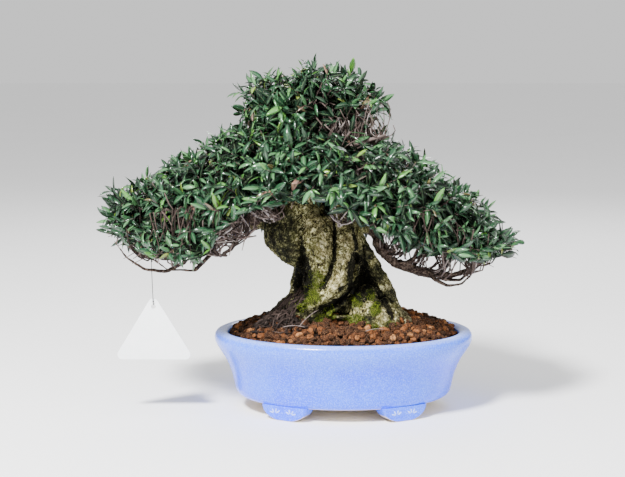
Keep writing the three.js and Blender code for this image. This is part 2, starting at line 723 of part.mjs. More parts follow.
addPiece('pot', pot, 0x9db9f2, 0.28);
addPiece('drain_screen_left', screenSolid(-drainHoleX), 0x2a2c2e, 0.7);
addPiece('drain_screen_right', screenSolid(drainHoleX), 0x2a2c2e, 0.7);
addPiece('soil', soil, 0x80492c, 0.95);
addPiece('trunk_and_branches', wood, 0x6f6849, 0.9);
addPiece('tag', tagSolid(), 0xf4f5f6, 0.45);
addPiece('tag_string', stringSolid(), 0x6d6a66, 0.8);
branches.forEach((branch, index) => addPiece(branch.name, foliageSolid(branch, index), 0x3a6b41, 0.5));

const extent = new THREE.Box3();
root.children.filter(({ name }) => !name.startsWith('tag')).forEach((mesh) => extent.expandByObject(mesh));
const middle = extent.getCenter(new THREE.Vector3());
root.children.forEach((mesh) => mesh.geometry.translate(-middle.x, -middle.y, -extent.min.z));

export default root;
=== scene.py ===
import math
import random
from itertools import product

import bmesh
import bpy
import numpy as np
from mathutils import Matrix, Vector, noise
from mathutils.bvhtree import BVHTree
from mathutils.kdtree import KDTree


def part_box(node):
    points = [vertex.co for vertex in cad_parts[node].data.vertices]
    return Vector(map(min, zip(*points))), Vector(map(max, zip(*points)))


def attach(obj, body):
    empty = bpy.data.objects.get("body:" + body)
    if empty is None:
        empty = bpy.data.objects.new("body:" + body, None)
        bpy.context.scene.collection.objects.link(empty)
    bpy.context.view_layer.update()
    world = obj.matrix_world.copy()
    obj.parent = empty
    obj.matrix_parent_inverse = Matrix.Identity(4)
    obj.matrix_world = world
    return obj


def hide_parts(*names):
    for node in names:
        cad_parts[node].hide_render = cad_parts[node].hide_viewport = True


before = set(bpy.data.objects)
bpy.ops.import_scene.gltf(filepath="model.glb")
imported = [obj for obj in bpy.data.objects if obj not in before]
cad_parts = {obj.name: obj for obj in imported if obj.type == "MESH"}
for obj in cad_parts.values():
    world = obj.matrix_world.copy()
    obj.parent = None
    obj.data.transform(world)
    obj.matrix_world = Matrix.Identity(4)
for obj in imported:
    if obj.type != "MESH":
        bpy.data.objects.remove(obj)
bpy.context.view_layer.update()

# Everything is laid out in millimetres about the pot's upright axis, with the viewer at -Y.
# A finished piece is then moved to the frame, in metres.
potLow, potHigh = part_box("pot")
potMiddle = (potLow + potHigh) / 2
toFrame = Matrix.Translation((potMiddle.x, potMiddle.y, 0)) @ Matrix.Diagonal((0.001, 0.001, 0.001, 1))
toLayout = toFrame.inverted()
tiny = 1e-4


def place(x, y, z):
    return toFrame @ Vector((x, y, z))


def colour(red, green, blue):
    # an sRGB colour from 0 to 255, as the linear one that shaders take
    parts = [c / 255 for c in (red, green, blue)]
    return tuple(c / 12.92 if c <= 0.04045 else ((c + 0.055) / 1.055) ** 2.4 for c in parts) + (1.0,)


def mix(a, b, share):
    return a + (b - a) * share


def clamp(value, low=0.0, high=1.0):
    return max(low, min(high, value))


# shaders


def operators(operation):
    # an arithmetic operator and its reflected form
    return (lambda self, other: self.maths(operation, self, other),
            lambda self, other: self.maths(operation, other, self))


class Signal:
    # one output of a node: arithmetic on it adds the Math nodes
    def __init__(self, paint, socket):
        self.paint = paint
        self.socket = socket

    def maths(self, operation, *terms):
        return self.paint.add("ShaderNodeMath", {"operation": operation}, dict(enumerate(terms)))

    __add__, __radd__ = operators("ADD")
    __sub__, __rsub__ = operators("SUBTRACT")
    __mul__, __rmul__ = operators("MULTIPLY")

    def size(self):
        return self.maths("ABSOLUTE", self)

    def sine(self):
        return self.maths("SINE", self)

    def between(self, low, high):
        # 0 below low, 1 above high, smooth in the middle
        settings = {"interpolation_type": "SMOOTHSTEP", "clamp": True}
        inputs = {"Value": self, "From Min": low, "From Max": high}
        return self.paint.add("ShaderNodeMapRange", settings, inputs)


class Paint:
    # a material's nodes
    def __init__(self, name):
        self.material = bpy.data.materials.new(name)
        self.material.use_nodes = True
        self.tree = self.material.node_tree
        self.tree.nodes.clear()
        self.shared = {}

    def add(self, kind, settings=None, inputs=None, output=0):
        node = self.tree.nodes.new(kind)
        for name, value in (settings or {}).items():
            if name == "stops":
                ramp = node.color_ramp
                while len(ramp.elements) < len(value):
                    ramp.elements.new(0.5)
                for element, (position, shade) in zip(ramp.elements, value):
                    element.position = position
                    element.color = shade
            else:
                setattr(node, name, value)
        for name, value in (inputs or {}).items():
            if isinstance(value, Signal):
                self.tree.links.new(value.socket, node.inputs[name])
            else:
                node.inputs[name].default_value = value
        return Signal(self, node.outputs[output]) if node.outputs else None

    def place(self):
        # the place on the piece, in millimetres
        if "place" not in self.shared:
            inputs = {0: self.add("ShaderNodeTexCoord", output="Object"), "Scale": 1000.0}
            self.shared["place"] = self.add("ShaderNodeVectorMath", {"operation": "SCALE"}, inputs)
        return self.shared["place"]

    def parts(self, vector):
        # the three numbers of a vector
        node = self.add("ShaderNodeSeparateXYZ", inputs={0: vector}).socket.node
        return [Signal(self, socket) for socket in node.outputs]

    def attribute(self, name):
        return self.add("ShaderNodeAttribute", {"attribute_name": name}, output="Fac")

    def noise(self, size, detail=3.0, rough=0.5, stretch=(1, 1, 1), warp=0.0):
        at = self.place()
        if stretch != (1, 1, 1):
            at = self.add("ShaderNodeVectorMath", {"operation": "MULTIPLY"}, {0: at, 1: stretch})
        inputs = {"Vector": at, "Scale": 1 / size, "Detail": detail, "Roughness": rough, "Distortion": warp}
        return self.add("ShaderNodeTexNoise", inputs=inputs)

    def cells(self, size):
        inputs = {"Vector": self.place(), "Scale": 1 / size}
        return self.add("ShaderNodeTexVoronoi", inputs=inputs, output="Distance")

    def ramp(self, value, stops):
        return self.add("ShaderNodeValToRGB", {"stops": stops}, {0: value})

    def blend(self, share, first, second):
        # from the first colour to the second; sockets 6, 7 and output 2 are the ones for colours
        settings = {"data_type": "RGBA", "clamp_factor": True}
        return self.add("ShaderNodeMix", settings, {0: share, 6: first, 7: second}, output=2)

    def bump(self, height, depth, strength=1.0):
        # depth in millimetres
        inputs = {"Height": height, "Distance": depth / 1000, "Strength": strength}
        return self.add("ShaderNodeBump", inputs=inputs)

    def finish(self, **sockets):
        # the material, with a Principled BSDF whose sockets are named in camelCase here
        names = {key: "".join(" " + c if c.isupper() else c for c in key).title() for key in sockets}
        names.update(specularIorLevel="Specular IOR Level")
        inputs = {names[key]: value for key, value in sockets.items()}
        shader = self.add("ShaderNodeBsdfPrincipled", inputs=inputs)
        self.add("ShaderNodeOutputMaterial", inputs={"Surface": shader})
        return self.material


# meshes and pieces


def meshFrom(bm, name):
    mesh = bpy.data.meshes.new(name)
    bm.to_mesh(mesh)
    bm.free()
    return mesh


def newPiece(name, mesh, materials, replaces=()):
    # a mesh in layout millimetres becomes a piece of the object
    mesh.transform(toFrame)
    piece = bpy.data.objects.new(name, mesh)
    bpy.context.scene.collection.objects.link(piece)
    for material in materials:
        mesh.materials.append(material)
    mesh.shade_smooth()
    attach(piece, "root")
    if replaces:
        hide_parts(*replaces)
    print(f"{name}: {sum(len(p.vertices) - 2 for p in mesh.polygons)} triangles")
    return piece


def evaluated(mesh, modifiers):
    # the mesh after a stack of (kind, settings)
    holder = bpy.data.objects.new("holder", mesh)
    bpy.context.scene.collection.objects.link(holder)
    for kind, settings in modifiers:
        modifier = holder.modifiers.new(kind, kind)
        for key, value in settings.items():
            setattr(modifier, key, value)
    done = bpy.data.meshes.new_from_object(holder.evaluated_get(bpy.context.evaluated_depsgraph_get()))
    bpy.data.objects.remove(holder)
    return done


def smoothLine(points, perSpan):
    # points on a smooth curve through the given ones; each may carry more numbers than its place
    rows = [Vector(p) for p in points]
    rows = [rows[0] * 2 - rows[1]] + rows + [rows[-1] * 2 - rows[-2]]
    line = []
    for i in range(1, len(rows) - 2):
        a, b, c, d = rows[i - 1:i + 3]
        for step in range(perSpan):
            t = step / perSpan
            line.append(0.5 * (2 * b + (c - a) * t + (2 * a - 5 * b + 4 * c - d) * t * t
                               + (3 * b - a - 3 * c + d) * t * t * t))
    line.append(rows[-2])
    return line


class Template:
    # a small mesh that is copied many times, and the places of its points at rest
    def __init__(self, bm, name):
        self.mesh = meshFrom(bm, name)
        rest = np.zeros(len(self.mesh.vertices) * 3, np.float32)
        self.mesh.vertices.foreach_get("co", rest)
        self.rest = rest.reshape(-1, 3).astype(float)
        self.mesh.attributes.new("tone", "FLOAT", "POINT")


class Copies:
    # many warped copies of templates, gathered into one mesh, each with a tone of its own
    def __init__(self):
        self.bm = bmesh.new()

    def add(self, template, warp, tone):
        tones = np.full(len(template.rest), tone, np.float32)
        template.mesh.vertices.foreach_set("co", warp(template.rest).astype(np.float32).ravel())
        template.mesh.attributes["tone"].data.foreach_set("value", tones)
        self.bm.from_mesh(template.mesh)

    def mesh(self, name):
        return meshFrom(self.bm, name)


def basis(forward, up):
    # rows: forward, side and an up that is square to forward
    forward = forward.normalized()
    side = up.cross(forward)
    if side.length < tiny:
        side = forward.orthogonal()
    side.normalize()
    return np.array([forward, side, forward.cross(side)])


def rodTemplate(name, sides, rings):
    # a straight rod up Z from 0 to 1 of radius 1, with closed ends
    bm = bmesh.new()
    bmesh.ops.create_cone(bm, cap_ends=True, cap_tris=False, segments=sides, radius1=1, radius2=1, depth=1)
    bmesh.ops.translate(bm, verts=bm.verts, vec=(0, 0, 0.5))
    for i in range(1, rings):
        geometry = bm.verts[:] + bm.edges[:] + bm.faces[:]
        bmesh.ops.bisect_plane(bm, geom=geometry, plane_co=(0, 0, i / rings), plane_no=(0, 0, 1), dist=1e-6)
    return Template(bm, name)


def rodWarp(points, radii):
    # carries a rod along a line of points; radii are those at its two ends
    line = [Vector(p) for p in points]
    count = len(line) - 1

    def warp(base):
        out = np.empty_like(base)
        side = (line[1] - line[0]).orthogonal().normalized()
        for i, point in enumerate(line):
            along = (line[min(i + 1, count)] - line[max(i - 1, 0)]).normalized()
            side = (side - along * side.dot(along)).normalized()
            other = along.cross(side)
            ring = np.abs(base[:, 2] * count - i) < 0.5
            radius = mix(radii[0], radii[1], i / count)
            flat = base[ring, :2] * radius
            out[ring] = np.array(point) + flat[:, :1] * np.array(side) + flat[:, 1:] * np.array(other)
        return out

    return warp


# the camera, and the tag with its string

print("camera and cord")
photoView = {"target": (-31, 0, 170), "distance": 1475.7, "elevation": 7, "lens": 85, "sensor": 36}
tilt = math.radians(photoView["elevation"])
camera = bpy.data.objects.new("camera", bpy.data.cameras.new("camera"))
bpy.context.scene.collection.objects.link(camera)
camera.data.lens = photoView["lens"]
camera.data.sensor_width = photoView["sensor"]
targetX, targetY, targetZ = photoView["target"]
camera.location = place(targetX, targetY - photoView["distance"] * math.cos(tilt),
                        targetZ + photoView["distance"] * math.sin(tilt))
camera.rotation_euler = (math.pi / 2 - tilt, 0, 0)
camera.data.clip_end = 20
bpy.context.scene.camera = camera

string = {
    "diameter": 0.7,
    "route": [(-188.5, -31.3, 151.4), (-188.5, -31.3, 154.4), (-188.5, -32, 156.2), (-188.5, -33.75, 156.9),
              (-188.5, -35.5, 156.2), (-188.5, -36.2, 154.4), (-188.4, -36.3, 148), (-188.1, -36.3, 138),
              (-187.8, -36.2, 128), (-187.5, -36.2, 119), (-187.3, -36.2, 111.4), (-187.3, -35.6, 109.4),
              (-187.3, -34, 108.5), (-187.3, -32.4, 109.4), (-187.3, -31.8, 111.4)],
    "knots": [(-188.5, -31.2, 151.2), (-187.3, -31.9, 111.8), (-187.3, -36.2, 112)],
    "knotRadius": 0.8,
}
tag = {"bevel": 0.28, "rimSegments": 3, "sharpFrom": 50}


def stringMaterial():
    paint = Paint("greyThread")
    fibres = paint.noise(size=0.5, detail=2, stretch=(1, 1, 0.4))
    base = paint.blend(fibres, colour(14, 13, 13), colour(44, 41, 39))
    normal = paint.bump(fibres, depth=0.1)
    return paint.finish(baseColor=base, roughness=0.85, normal=normal, specularIorLevel=0.1)


def tagMaterial():
    paint = Paint("whiteTagPlastic")
    base = paint.blend(paint.noise(size=9), colour(236, 240, 241), colour(250, 251, 251))
    scuff = paint.noise(size=1.6, detail=4, rough=0.6, stretch=(1, 1, 0.25)).between(0.56, 0.7)
    normal = paint.bump(paint.noise(size=0.8, detail=2), depth=0.03, strength=0.5)
    return paint.finish(baseColor=base, roughness=scuff * 0.14 + 0.34, normal=normal, coatWeight=0.15)


def finishTag():
    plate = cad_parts["tag"]
    plate.data.materials.clear()
    plate.data.materials.append(tagMaterial())
    weld = plate.modifiers.new("joinedFaces", "WELD")
    weld.merge_threshold = 1e-5
    bevel = plate.modifiers.new("roundedRim", "BEVEL")
    bevel.width = tag["bevel"] / 1000
    bevel.segments = tag["rimSegments"]
    bevel.limit_method = "ANGLE"
    bevel.angle_limit = math.radians(tag["sharpFrom"])
    return plate


def makeString(tagPlate):
    material = stringMaterial()
    route = smoothLine(string["route"], 2)
    curve = bpy.data.curves.new("tagString", "CURVE")
    curve.dimensions = "3D"
    curve.bevel_depth = string["diameter"] / 2000
    curve.bevel_resolution = 2
    curve.use_fill_caps = True
    spline = curve.splines.new("POLY")
    spline.points.add(len(route) - 1)
    path = [toFrame @ point for point in route]
    for point, at in zip(spline.points, path):
        point.co = (*at, 1)
    curve.materials.append(material)
    piece = bpy.data.objects.new("tag_thread", curve)
    bpy.context.scene.collection.objects.link(piece)
    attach(piece, "root")
    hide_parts("tag_string")
    bm = bmesh.new()
    for spot in string["knots"]:
        turn = Matrix.Translation(spot) @ Matrix.Diagonal((1, 1, 0.8, 1))
        bmesh.ops.create_icosphere(bm, subdivisions=2, radius=string["knotRadius"], matrix=turn)
    knots = newPiece("tag_knots", meshFrom(bm, "knots"), [material])


makeString(finishTag())

# the pot

print("pot")
pot = {
    "halfWidth": 129.5, "depthRatio": 0.77, "steps": 160,
    # section from the middle of the underside, out, up and over the lip, and down to the floor inside
    "section": [(0, 12.5), (60, 12.5), (97, 12.6), (102.6, 13.4), (105.6, 15), (107.9, 18), (109.3, 23),
                (110.6, 29.5), (112.6, 37), (115.4, 44.5), (119.2, 52), (123.4, 58.5), (126.8, 63.6),
                (128.9, 68), (129.5, 71.6), (129, 75), (127.1, 77.6), (124, 78.9), (120.6, 79),
                (117.6, 77.9), (115.6, 75.4), (114.5, 71.5), (113.2, 66), (110, 52), (105, 36), (99, 24),
                (94, 21), (88, 20.5), (0, 20.5)],
    "drainHoles": [-46, 46], "drainRadius": 9, "drill": {"middle": 16, "depth": 20}, "sharpFrom": 38,
}
# heights at which the glaze turns paler, thins over the lip, and ends above the bare clay of the soles
glaze = {"paler": (46, 70), "lip": (75, 79), "bareBelow": (14.2, 13.6), "bareFacing": (-0.62, -0.8)}
feet = {
    "angles": [55, 125, 235, 305], "reach": 0.74, "depth": 17, "bevel": 1.8, "bevelBelow": 14,
    # half of the outline seen from the front, from the root down to the middle of the sole
    "outline": [(24.4, 14.5), (24, 11.8), (22.9, 9), (21, 6.5), (18.5, 4.3), (15.5, 2.5), (12.2, 1.1),
                (9.4, 0.3), (7.6, 0), (0, 0)],
    # two marks of petals in low relief: (across, lean), then (angle, reach) of each petal
    "marks": [(-9.5, -8), (7.5, 10)], "petals": [(-66, 3.9), (-24, 4.1), (20, 4.1), (62, 3.9)],
    "markHeight": 7, "petal": (0.85, 0.5, 2.3), "squash": 0.7,
}


def glazeMaterial():
    paint = Paint("periwinkleGlaze")
    height = paint.parts(paint.place())[2]
    facing = paint.parts(paint.add("ShaderNodeNewGeometry", output="Normal"))[2]
    cloud = paint.noise(size=38, rough=0.55)
    speckle = paint.noise(size=1.3, rough=0.7)
    fine = paint.noise(size=2.6, detail=4, rough=0.6)
    body = paint.ramp(cloud, [(0.36, colour(14, 74, 255)), (0.5, colour(26, 90, 255)),
                              (0.66, colour(44, 106, 255))])
    body = paint.blend(height.between(*glaze["paler"]) * 0.7, body, colour(66, 120, 246))
    thin = height.between(*glaze["lip"]) * 0.5 + paint.attribute("relief") * 0.85
    body = paint.blend(thin, body, colour(180, 204, 250))
    body = paint.blend(speckle.between(0.52, 0.6) * 0.45, body, colour(122, 164, 255))
    body = paint.blend(speckle.between(0.48, 0.4) * 0.55, body, colour(20, 66, 236))
    pinholes = paint.cells(size=7.5).between(0.055, 0.035)
    pinholes *= paint.noise(size=22, detail=1).between(0.55, 0.6)
    body = paint.blend(pinholes * 0.7, body, colour(70, 74, 96))
    sole = facing.between(*glaze["bareFacing"]) * height.between(*glaze["bareBelow"])
    body = paint.blend(sole, body, colour(214, 196, 170))
    normal = paint.bump(fine * 0.6 + cloud * 2.0, depth=0.28, strength=0.5)
    return paint.finish(baseColor=body, roughness=fine * 0.12 + 0.16 + sole * 0.4, normal=normal,
                        specularIorLevel=0.35, coatWeight=0.25, coatRoughness=0.1)


def footMesh():
    # one foot about its own middle: a rounded cloud block with petals in low relief at its front
    bm = bmesh.new()
    front = feet["depth"] / 2
    half = [Vector((x, 0, z)) for x, z in feet["outline"]]
    outline = half + [Vector((-v.x, 0, v.z)) for v in reversed(half[:-1])]
    face = bm.faces.new([bm.verts.new(v) for v in outline])
    grown = bmesh.ops.extrude_face_region(bm, geom=[face])
    moved = [v for v in grown["geom"] if isinstance(v, bmesh.types.BMVert)]
    bmesh.ops.translate(bm, verts=moved, vec=(0, feet["depth"], 0))
    bmesh.ops.translate(bm, verts=bm.verts, vec=(0, -front, 0))
    bmesh.ops.recalc_face_normals(bm, faces=bm.faces)
    rims = [e for e in bm.edges if all(abs(abs(v.co.y) - front) < tiny for v in e.verts)
            and e.verts[0].co.y * e.verts[1].co.y > 0 and min(v.co.z for v in e.verts) < feet["bevelBelow"]]
    bmesh.ops.bevel(bm, geom=rims, offset=feet["bevel"], segments=4, profile=0.5, affect="EDGES",
                    material=-1)
    relief = bm.verts.layers.float.new("relief")
    for across, lean in feet["marks"]:
        for angle, reach in feet["petals"]:
            turn = math.radians(angle + lean)
            rise = feet["markHeight"] + math.cos(turn) * reach * feet["squash"]
            at = Matrix.Translation((across + math.sin(turn) * reach, -front, rise))
            matrix = at @ Matrix.Rotation(turn, 4, "Y") @ Matrix.Diagonal((*feet["petal"], 1))
            for vert in bmesh.ops.create_icosphere(bm, subdivisions=2, radius=1, matrix=matrix)["verts"]:
                vert[relief] = 1
    return meshFrom(bm, "foot")


def spun(section, steps):
    # a closed oval body from its section, as deep as the pot's ratio says
    bm = bmesh.new()
    chain = [bm.verts.new((x, 0, z)) for x, z in section]
    edges = [bm.edges.new(pair) for pair in zip(chain, chain[1:])]
    bmesh.ops.spin(bm, geom=chain + edges, cent=(0, 0, 0), axis=(0, 0, 1), angle=2 * math.pi, steps=steps,
                   use_merge=True)
    bmesh.ops.remove_doubles(bm, verts=bm.verts, dist=0.01)
    bmesh.ops.scale(bm, verts=bm.verts, vec=(1, pot["depthRatio"], 1))
    bmesh.ops.recalc_face_normals(bm, faces=bm.faces)
    return bm


def drilled(bowl):
    # the bowl with its drain holes
    drills = bmesh.new()
    drill = pot["drill"]
    for x in pot["drainHoles"]:
        bmesh.ops.create_cone(drills, cap_ends=True, segments=40, radius1=pot["drainRadius"],
                              radius2=pot["drainRadius"], depth=drill["depth"],
                              matrix=Matrix.Translation((x, 0, drill["middle"])))
    cutter = bpy.data.objects.new("drill", meshFrom(drills, "drill"))
    bpy.context.scene.collection.objects.link(cutter)
    bowl = evaluated(bowl, [("BOOLEAN", {"object": cutter, "operation": "DIFFERENCE", "solver": "EXACT"})])
    bpy.data.objects.remove(cutter)
    return bowl


def makePot():
    bm = bmesh.new()
    bm.from_mesh(drilled(meshFrom(spun(pot["section"], pot["steps"]), "bowl")))
    bm.verts.layers.float.new("relief")
    foot = footMesh()
    reach = feet["reach"] * pot["halfWidth"]
    for degrees in feet["angles"]:
        angle = math.radians(degrees)
        at = (reach * math.cos(angle), reach * pot["depthRatio"] * math.sin(angle), 0)
        facing = math.atan2(math.sin(angle) / pot["depthRatio"], math.cos(angle))
        turned = foot.copy()
        turned.transform(Matrix.Translation(at) @ Matrix.Rotation(facing + math.pi / 2, 4, "Z"))
        bm.from_mesh(turned)
    mesh = meshFrom(bm, "potMesh")
    newPiece("glazed_pot", mesh, [glazeMaterial()], ["pot"])
    mesh.set_sharp_from_angle(angle=math.radians(pot["sharpFrom"]))


makePot()


def screenMaterial():
    paint = Paint("screenPlastic")
    grain = paint.noise(size=2)
    base = paint.blend(grain, colour(34, 36, 38), colour(58, 58, 58))
    return paint.finish(baseColor=base, roughness=grain * 0.2 + 0.5, normal=paint.bump(grain, depth=0.05))


screenLook = screenMaterial()
for name in ("drain_screen_left", "drain_screen_right"):
    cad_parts[name].data.materials.clear()
    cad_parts[name].data.materials.append(screenLook)

# the trunk and its limbs

print("trunk")
trunk = {
    "voxel": 1.4, "smooth": 4, "middle": (-14, 0), "coarse": 1.6, "fine": 1.5, "grain": 0.6, "base": 0.8,
    "knobs": [(63, -22, 88, 6.5), (58, -26, 84, 6)],
    # strands of the front: (across, up, radius) along each, then how far it stands out
    "strands": [
        ([(-27.6, 196, 10), (-25.6, 175, 12.5), (-23.7, 162, 13), (-22.7, 150, 12), (-23.7, 137, 8)], 9),
        ([(-2, 200, 11), (0.8, 178, 12), (1.8, 164, 13), (-2, 148, 13.5), (-12, 132, 12.5), (-26, 120, 10),
          (-39, 110, 7)], 9),
        ([(8.6, 190, 9), (19, 170, 10), (31, 152, 10), (42, 131, 10), (51, 109, 10), (57, 90, 10)], 6),
        ([(16, 122, 12), (27, 106, 16), (36, 90, 16)], 9),
        ([(16, 118, 10), (7, 100, 13), (2, 84, 12)], 5),
        ([(-60, 188, 15), (-57, 168, 15), (-50, 153, 10)], 4),
        ([(-46, 146, 7), (-48, 130, 7), (-55, 112, 9)], 4),
    ],
    # hollows and grooves between them, in the same way, then how deep
    "hollows": [
        ([(-40, 151, 5), (-40, 134, 8), (-43, 121, 7)], 14),
        ([(10, 158, 3), (14, 142, 10), (17, 127, 12)], 24),
        ([(-4, 127, 4.5)], 5),
        ([(-10, 192, 2), (-9, 176, 2.6), (-10, 156, 2.8), (-15, 140, 3.4), (-22, 128, 3.6)], 5),
        ([(8, 184, 2), (12, 164, 3.4)], 4),
        ([(-42, 174, 2), (-41, 164, 3), (-39, 152, 4)], 5),
        ([(4, 118, 5), (-8, 112, 5), (-22, 106, 5)], 6),
        ([(30, 126, 4), (40, 112, 4), (47, 96, 4)], 5),
    ],
    # a hollow deeper than this is wide and dark with painted shade, and a shallower one is a groove
    "deepFrom": 8, "hollowWidth": 1.4, "grooveWidth": 1.0, "shadeFullDepth": 7, "sunkWidth": 1.3,
    # places on the front, as (across, up, reach)
    "mossSpots": [(-27, 135, 11), (-32, 118, 12), (-42, 108, 8), (-14, 103, 9), (12, 113, 8), (30, 106, 8),
                  (14, 92, 12), (45, 88, 10), (26, 118, 6), (-22, 95, 8), (4, 94, 8), (54, 84, 8),
                  (30, 88, 7)],
    # spots of painted shade on the front, where the wood lies in shade
    "shadedSpots": [(34, 113, 8), (23, 97, 9), (-66, 176, 24), (-64, 184, 26), (-56, 160, 18), (-62, 96, 26),
                  (-46, 100, 18), (22, 158, 12), (34, 138, 12), (46, 116, 10), (-8, 100, 16), (4, 116, 12),
                  (-30, 96, 16), (-48, 136, 12), (10, 192, 12)],
    "paleSpots": [(3, 168, 14), (1, 150, 14), (-9, 135, 11), (-20, 166, 12), (-30, 188, 14), (-4, 190, 12),
                  (38, 101, 8), (28, 111, 6), (44, 120, 8), (37, 136, 8), (-18, 180, 9), (-52, 158, 8),
                  (8, 98, 7), (26, 158, 6)],
    # the grid over the front, and how often its depths and its edge are blurred
    "frontAcross": (-86, 78), "frontUp": (74, 214), "frontStep": 2.0, "evenTurns": 60, "edgeTurns": 7,
    # where the strands fade out, and over how wide a stretch
    "fadeDeep": 16, "fadeTop": (206, 14), "fadeLeft": (-84, 16), "fadeRight": (74, 12),
}
# lines of the main limbs and branchlets
limbLines = [
    [(-50, 0, 184), (-78, 2, 190), (-108, 4, 184), (-140, 2, 168), (-172, -4, 154), (-204, -8, 154),
     (-222, -6, 172)],
    [(16, 8, 186), (29, 6, 180), (34, 2, 167), (42, -2, 154), (54, -4, 145), (68, -4, 140), (84, -4, 138),
     (104, -6, 133), (130, -6, 142), (156, -2, 164)],
    [(-112, 4, 182), (-130, -16, 158), (-143, -28, 146), (-153, -34, 138), (-164, -34, 147),
     (-176, -34, 142), (-184, -34, 152), (-194, -34, 156), (-206, -30, 172)],
    [(-150, 0, 163), (-164, -16, 142), (-186, -22, 140), (-208, -20, 147), (-228, -14, 170)],
    [(-150, 0, 163), (-170, 14, 148), (-196, 22, 149), (-214, 22, 168)],
    [(-100, 4, 186), (-110, -30, 164), (-120, -48, 158), (-128, -62, 174)],
    [(84, -4, 138), (92, -16, 130), (108, -24, 125), (122, -28, 133), (132, -30, 152)],
    [(88, -4, 137), (106, 4, 127), (124, 8, 129), (140, 10, 150)],
    [(68, -4, 140), (80, 14, 131), (98, 24, 129), (114, 28, 151)],
    [(44, -2, 153), (50, -14, 160), (53, -22, 184)],
    [(60, -4, 142), (70, -13, 152), (76, -20, 178)],
    [(-44, 0, 192), (-38, 4, 216), (-26, 6, 248), (-32, 2, 284), (-34, 0, 324)],
    [(-84, 0, 188), (-110, -26, 212), (-132, -52, 240)],
    [(-84, 4, 188), (-110, 28, 212), (-132, 52, 240)],
    [(-34, -6, 208), (-38, -36, 240), (-42, -62, 262)],
    [(-32, 8, 208), (-36, 36, 240), (-40, 62, 262)],
    [(-8, -4, 198), (20, -28, 220), (50, -52, 236)],
    [(-6, 8, 196), (22, 32, 220), (52, 54, 236)],
    [(-30, 4, 262), (-50, 0, 286), (-68, -6, 310)],
    [(-28, 5, 254), (-12, 5, 284), (6, 4, 312)],
]


def pointTree(points):
    tree = KDTree(len(points))
    for index, point in enumerate(points):
        tree.insert(point, index)
    tree.balance()
    return tree


limbTree = pointTree([p for line in limbLines for p in smoothLine(line, 8)])


def barkMaterial():
    paint = Paint("mossyBark")
    patch = paint.noise(size=17, detail=4, rough=0.6)
    lichen = paint.noise(size=2.0, detail=5, rough=0.8) * 0.95
    lichen = lichen + paint.noise(size=5.5, rough=0.6) * 0.5 - 0.22
    grit = paint.noise(size=0.9, rough=0.75)
    fissure = paint.noise(size=4.5, detail=5, rough=0.7, stretch=(1.0, 1.0, 0.42), warp=1.2)
    # lichen on grey-brown bark, creamy on the strands, and darker with painted shade where the wood lies in
    # shade
    base = paint.ramp(lichen, [(0.36, colour(20, 17, 11)), (0.44, colour(54, 48, 26)),
                               (0.51, colour(116, 111, 68)), (0.57, colour(188, 183, 124)),
                               (0.65, colour(248, 243, 196))])
    creamy = paint.ramp(lichen * 0.6 + grit * 0.4, [(0.41, colour(74, 64, 36)), (0.5, colour(178, 166, 112)),
                                                    (0.57, colour(240, 230, 186))])
    base = paint.blend(paint.attribute("pale") * patch.between(0.34, 0.58) * 0.85, base, creamy)
    base = paint.blend(patch.between(0.5, 0.62) * 0.55, base, colour(74, 76, 26))
    # painted shade: a dim bark blended in at the shaded spots of the front
    shadedBark = paint.ramp(lichen, [(0.4, colour(13, 13, 9)), (0.5, colour(36, 36, 22)), (0.58, colour(68, 68, 42)),
                              (0.68, colour(148, 144, 102))])
    base = paint.blend(paint.attribute("dark"), base, shadedBark)
    # pores and cracks
    base = paint.blend(grit.between(0.44, 0.36) * 0.7, base, colour(14, 12, 8))
    base = paint.blend((1 - fissure.between(0.38, 0.47)) * 0.85, base, colour(20, 17, 13))
    mossy = paint.ramp(grit, [(0.38, colour(14, 20, 4)), (0.5, colour(52, 64, 12)),
                              (0.62, colour(112, 124, 34))])
    base = paint.blend(paint.attribute("moss") * lichen.between(0.4, 0.5), base, mossy)
    # painted shade, near black where the wood is hollow, with a ragged edge
    hollowShade = (paint.attribute("crevice") + (lichen - 0.5) * -1.6 + (grit - 0.5) * -1.6).between(0.34, 0.78)
    base = paint.blend(hollowShade * 0.95, base, colour(5, 5, 4))
    limb = paint.ramp(lichen, [(0.38, colour(26, 20, 18)), (0.5, colour(62, 50, 44)),
                               (0.64, colour(120, 104, 92))])
    base = paint.blend(paint.attribute("twig"), base, limb)
    normal = paint.bump(fissure + lichen * 0.8 + grit * 0.5, depth=2.0, strength=0.9)
    return paint.finish(baseColor=base, roughness=0.88, normal=normal, specularIorLevel=0.1)


def nearSpots(point, spots):
    # how deep a point of the front lies in a list of spots, from 0 to 1
    best = max(1 - math.hypot(x - point.x, z - point.z) / reach for x, z, reach in spots)
    return clamp(best * 2.2)


def alongLine(points, x, z):
    # for places (x, z): the least share of the radius at which they lie from a line
    best = np.full(x.shape, 9.0)
    rows = [Vector(p) for p in points]
    steps = 12
    for a, b in zip(rows, rows[1:] or rows):
        for step in range(steps + 1):
            spot = a.lerp(b, step / steps)
            best = np.minimum(best, np.hypot(x - spot.x, z - spot.y) / spot.z)
    return best


def hollowShare(x, z):
    # 1 in the middle of a hollow, 0 outside; this sets the painted shade of the hollows
    depth = []
    for points, far in trunk["hollows"]:
        width = trunk["grooveWidth"] if far < trunk["deepFrom"] else trunk["hollowWidth"]
        share = alongLine(points, x, z) / width
        depth.append(np.clip(1 - share ** 2, 0, 1) * min(1, far / trunk["shadeFullDepth"]))
    return np.max(depth, axis=0)


def frontRelief(x, z):
    # how far the strands stand out of the trunk's front, and the hollows go in, in millimetres
    rise = np.zeros(x.shape)
    for points, height in trunk["strands"]:
        share = alongLine(points, x, z)
        rise = np.maximum(rise, height * np.sqrt(np.clip(1 - share ** 2, 0, 1)))
    for points, depth in trunk["hollows"]:
        share = alongLine(points, x, z) / trunk["sunkWidth"]
        rise -= depth * np.clip(1 - share ** 2, 0, 1) ** 1.5
    return rise


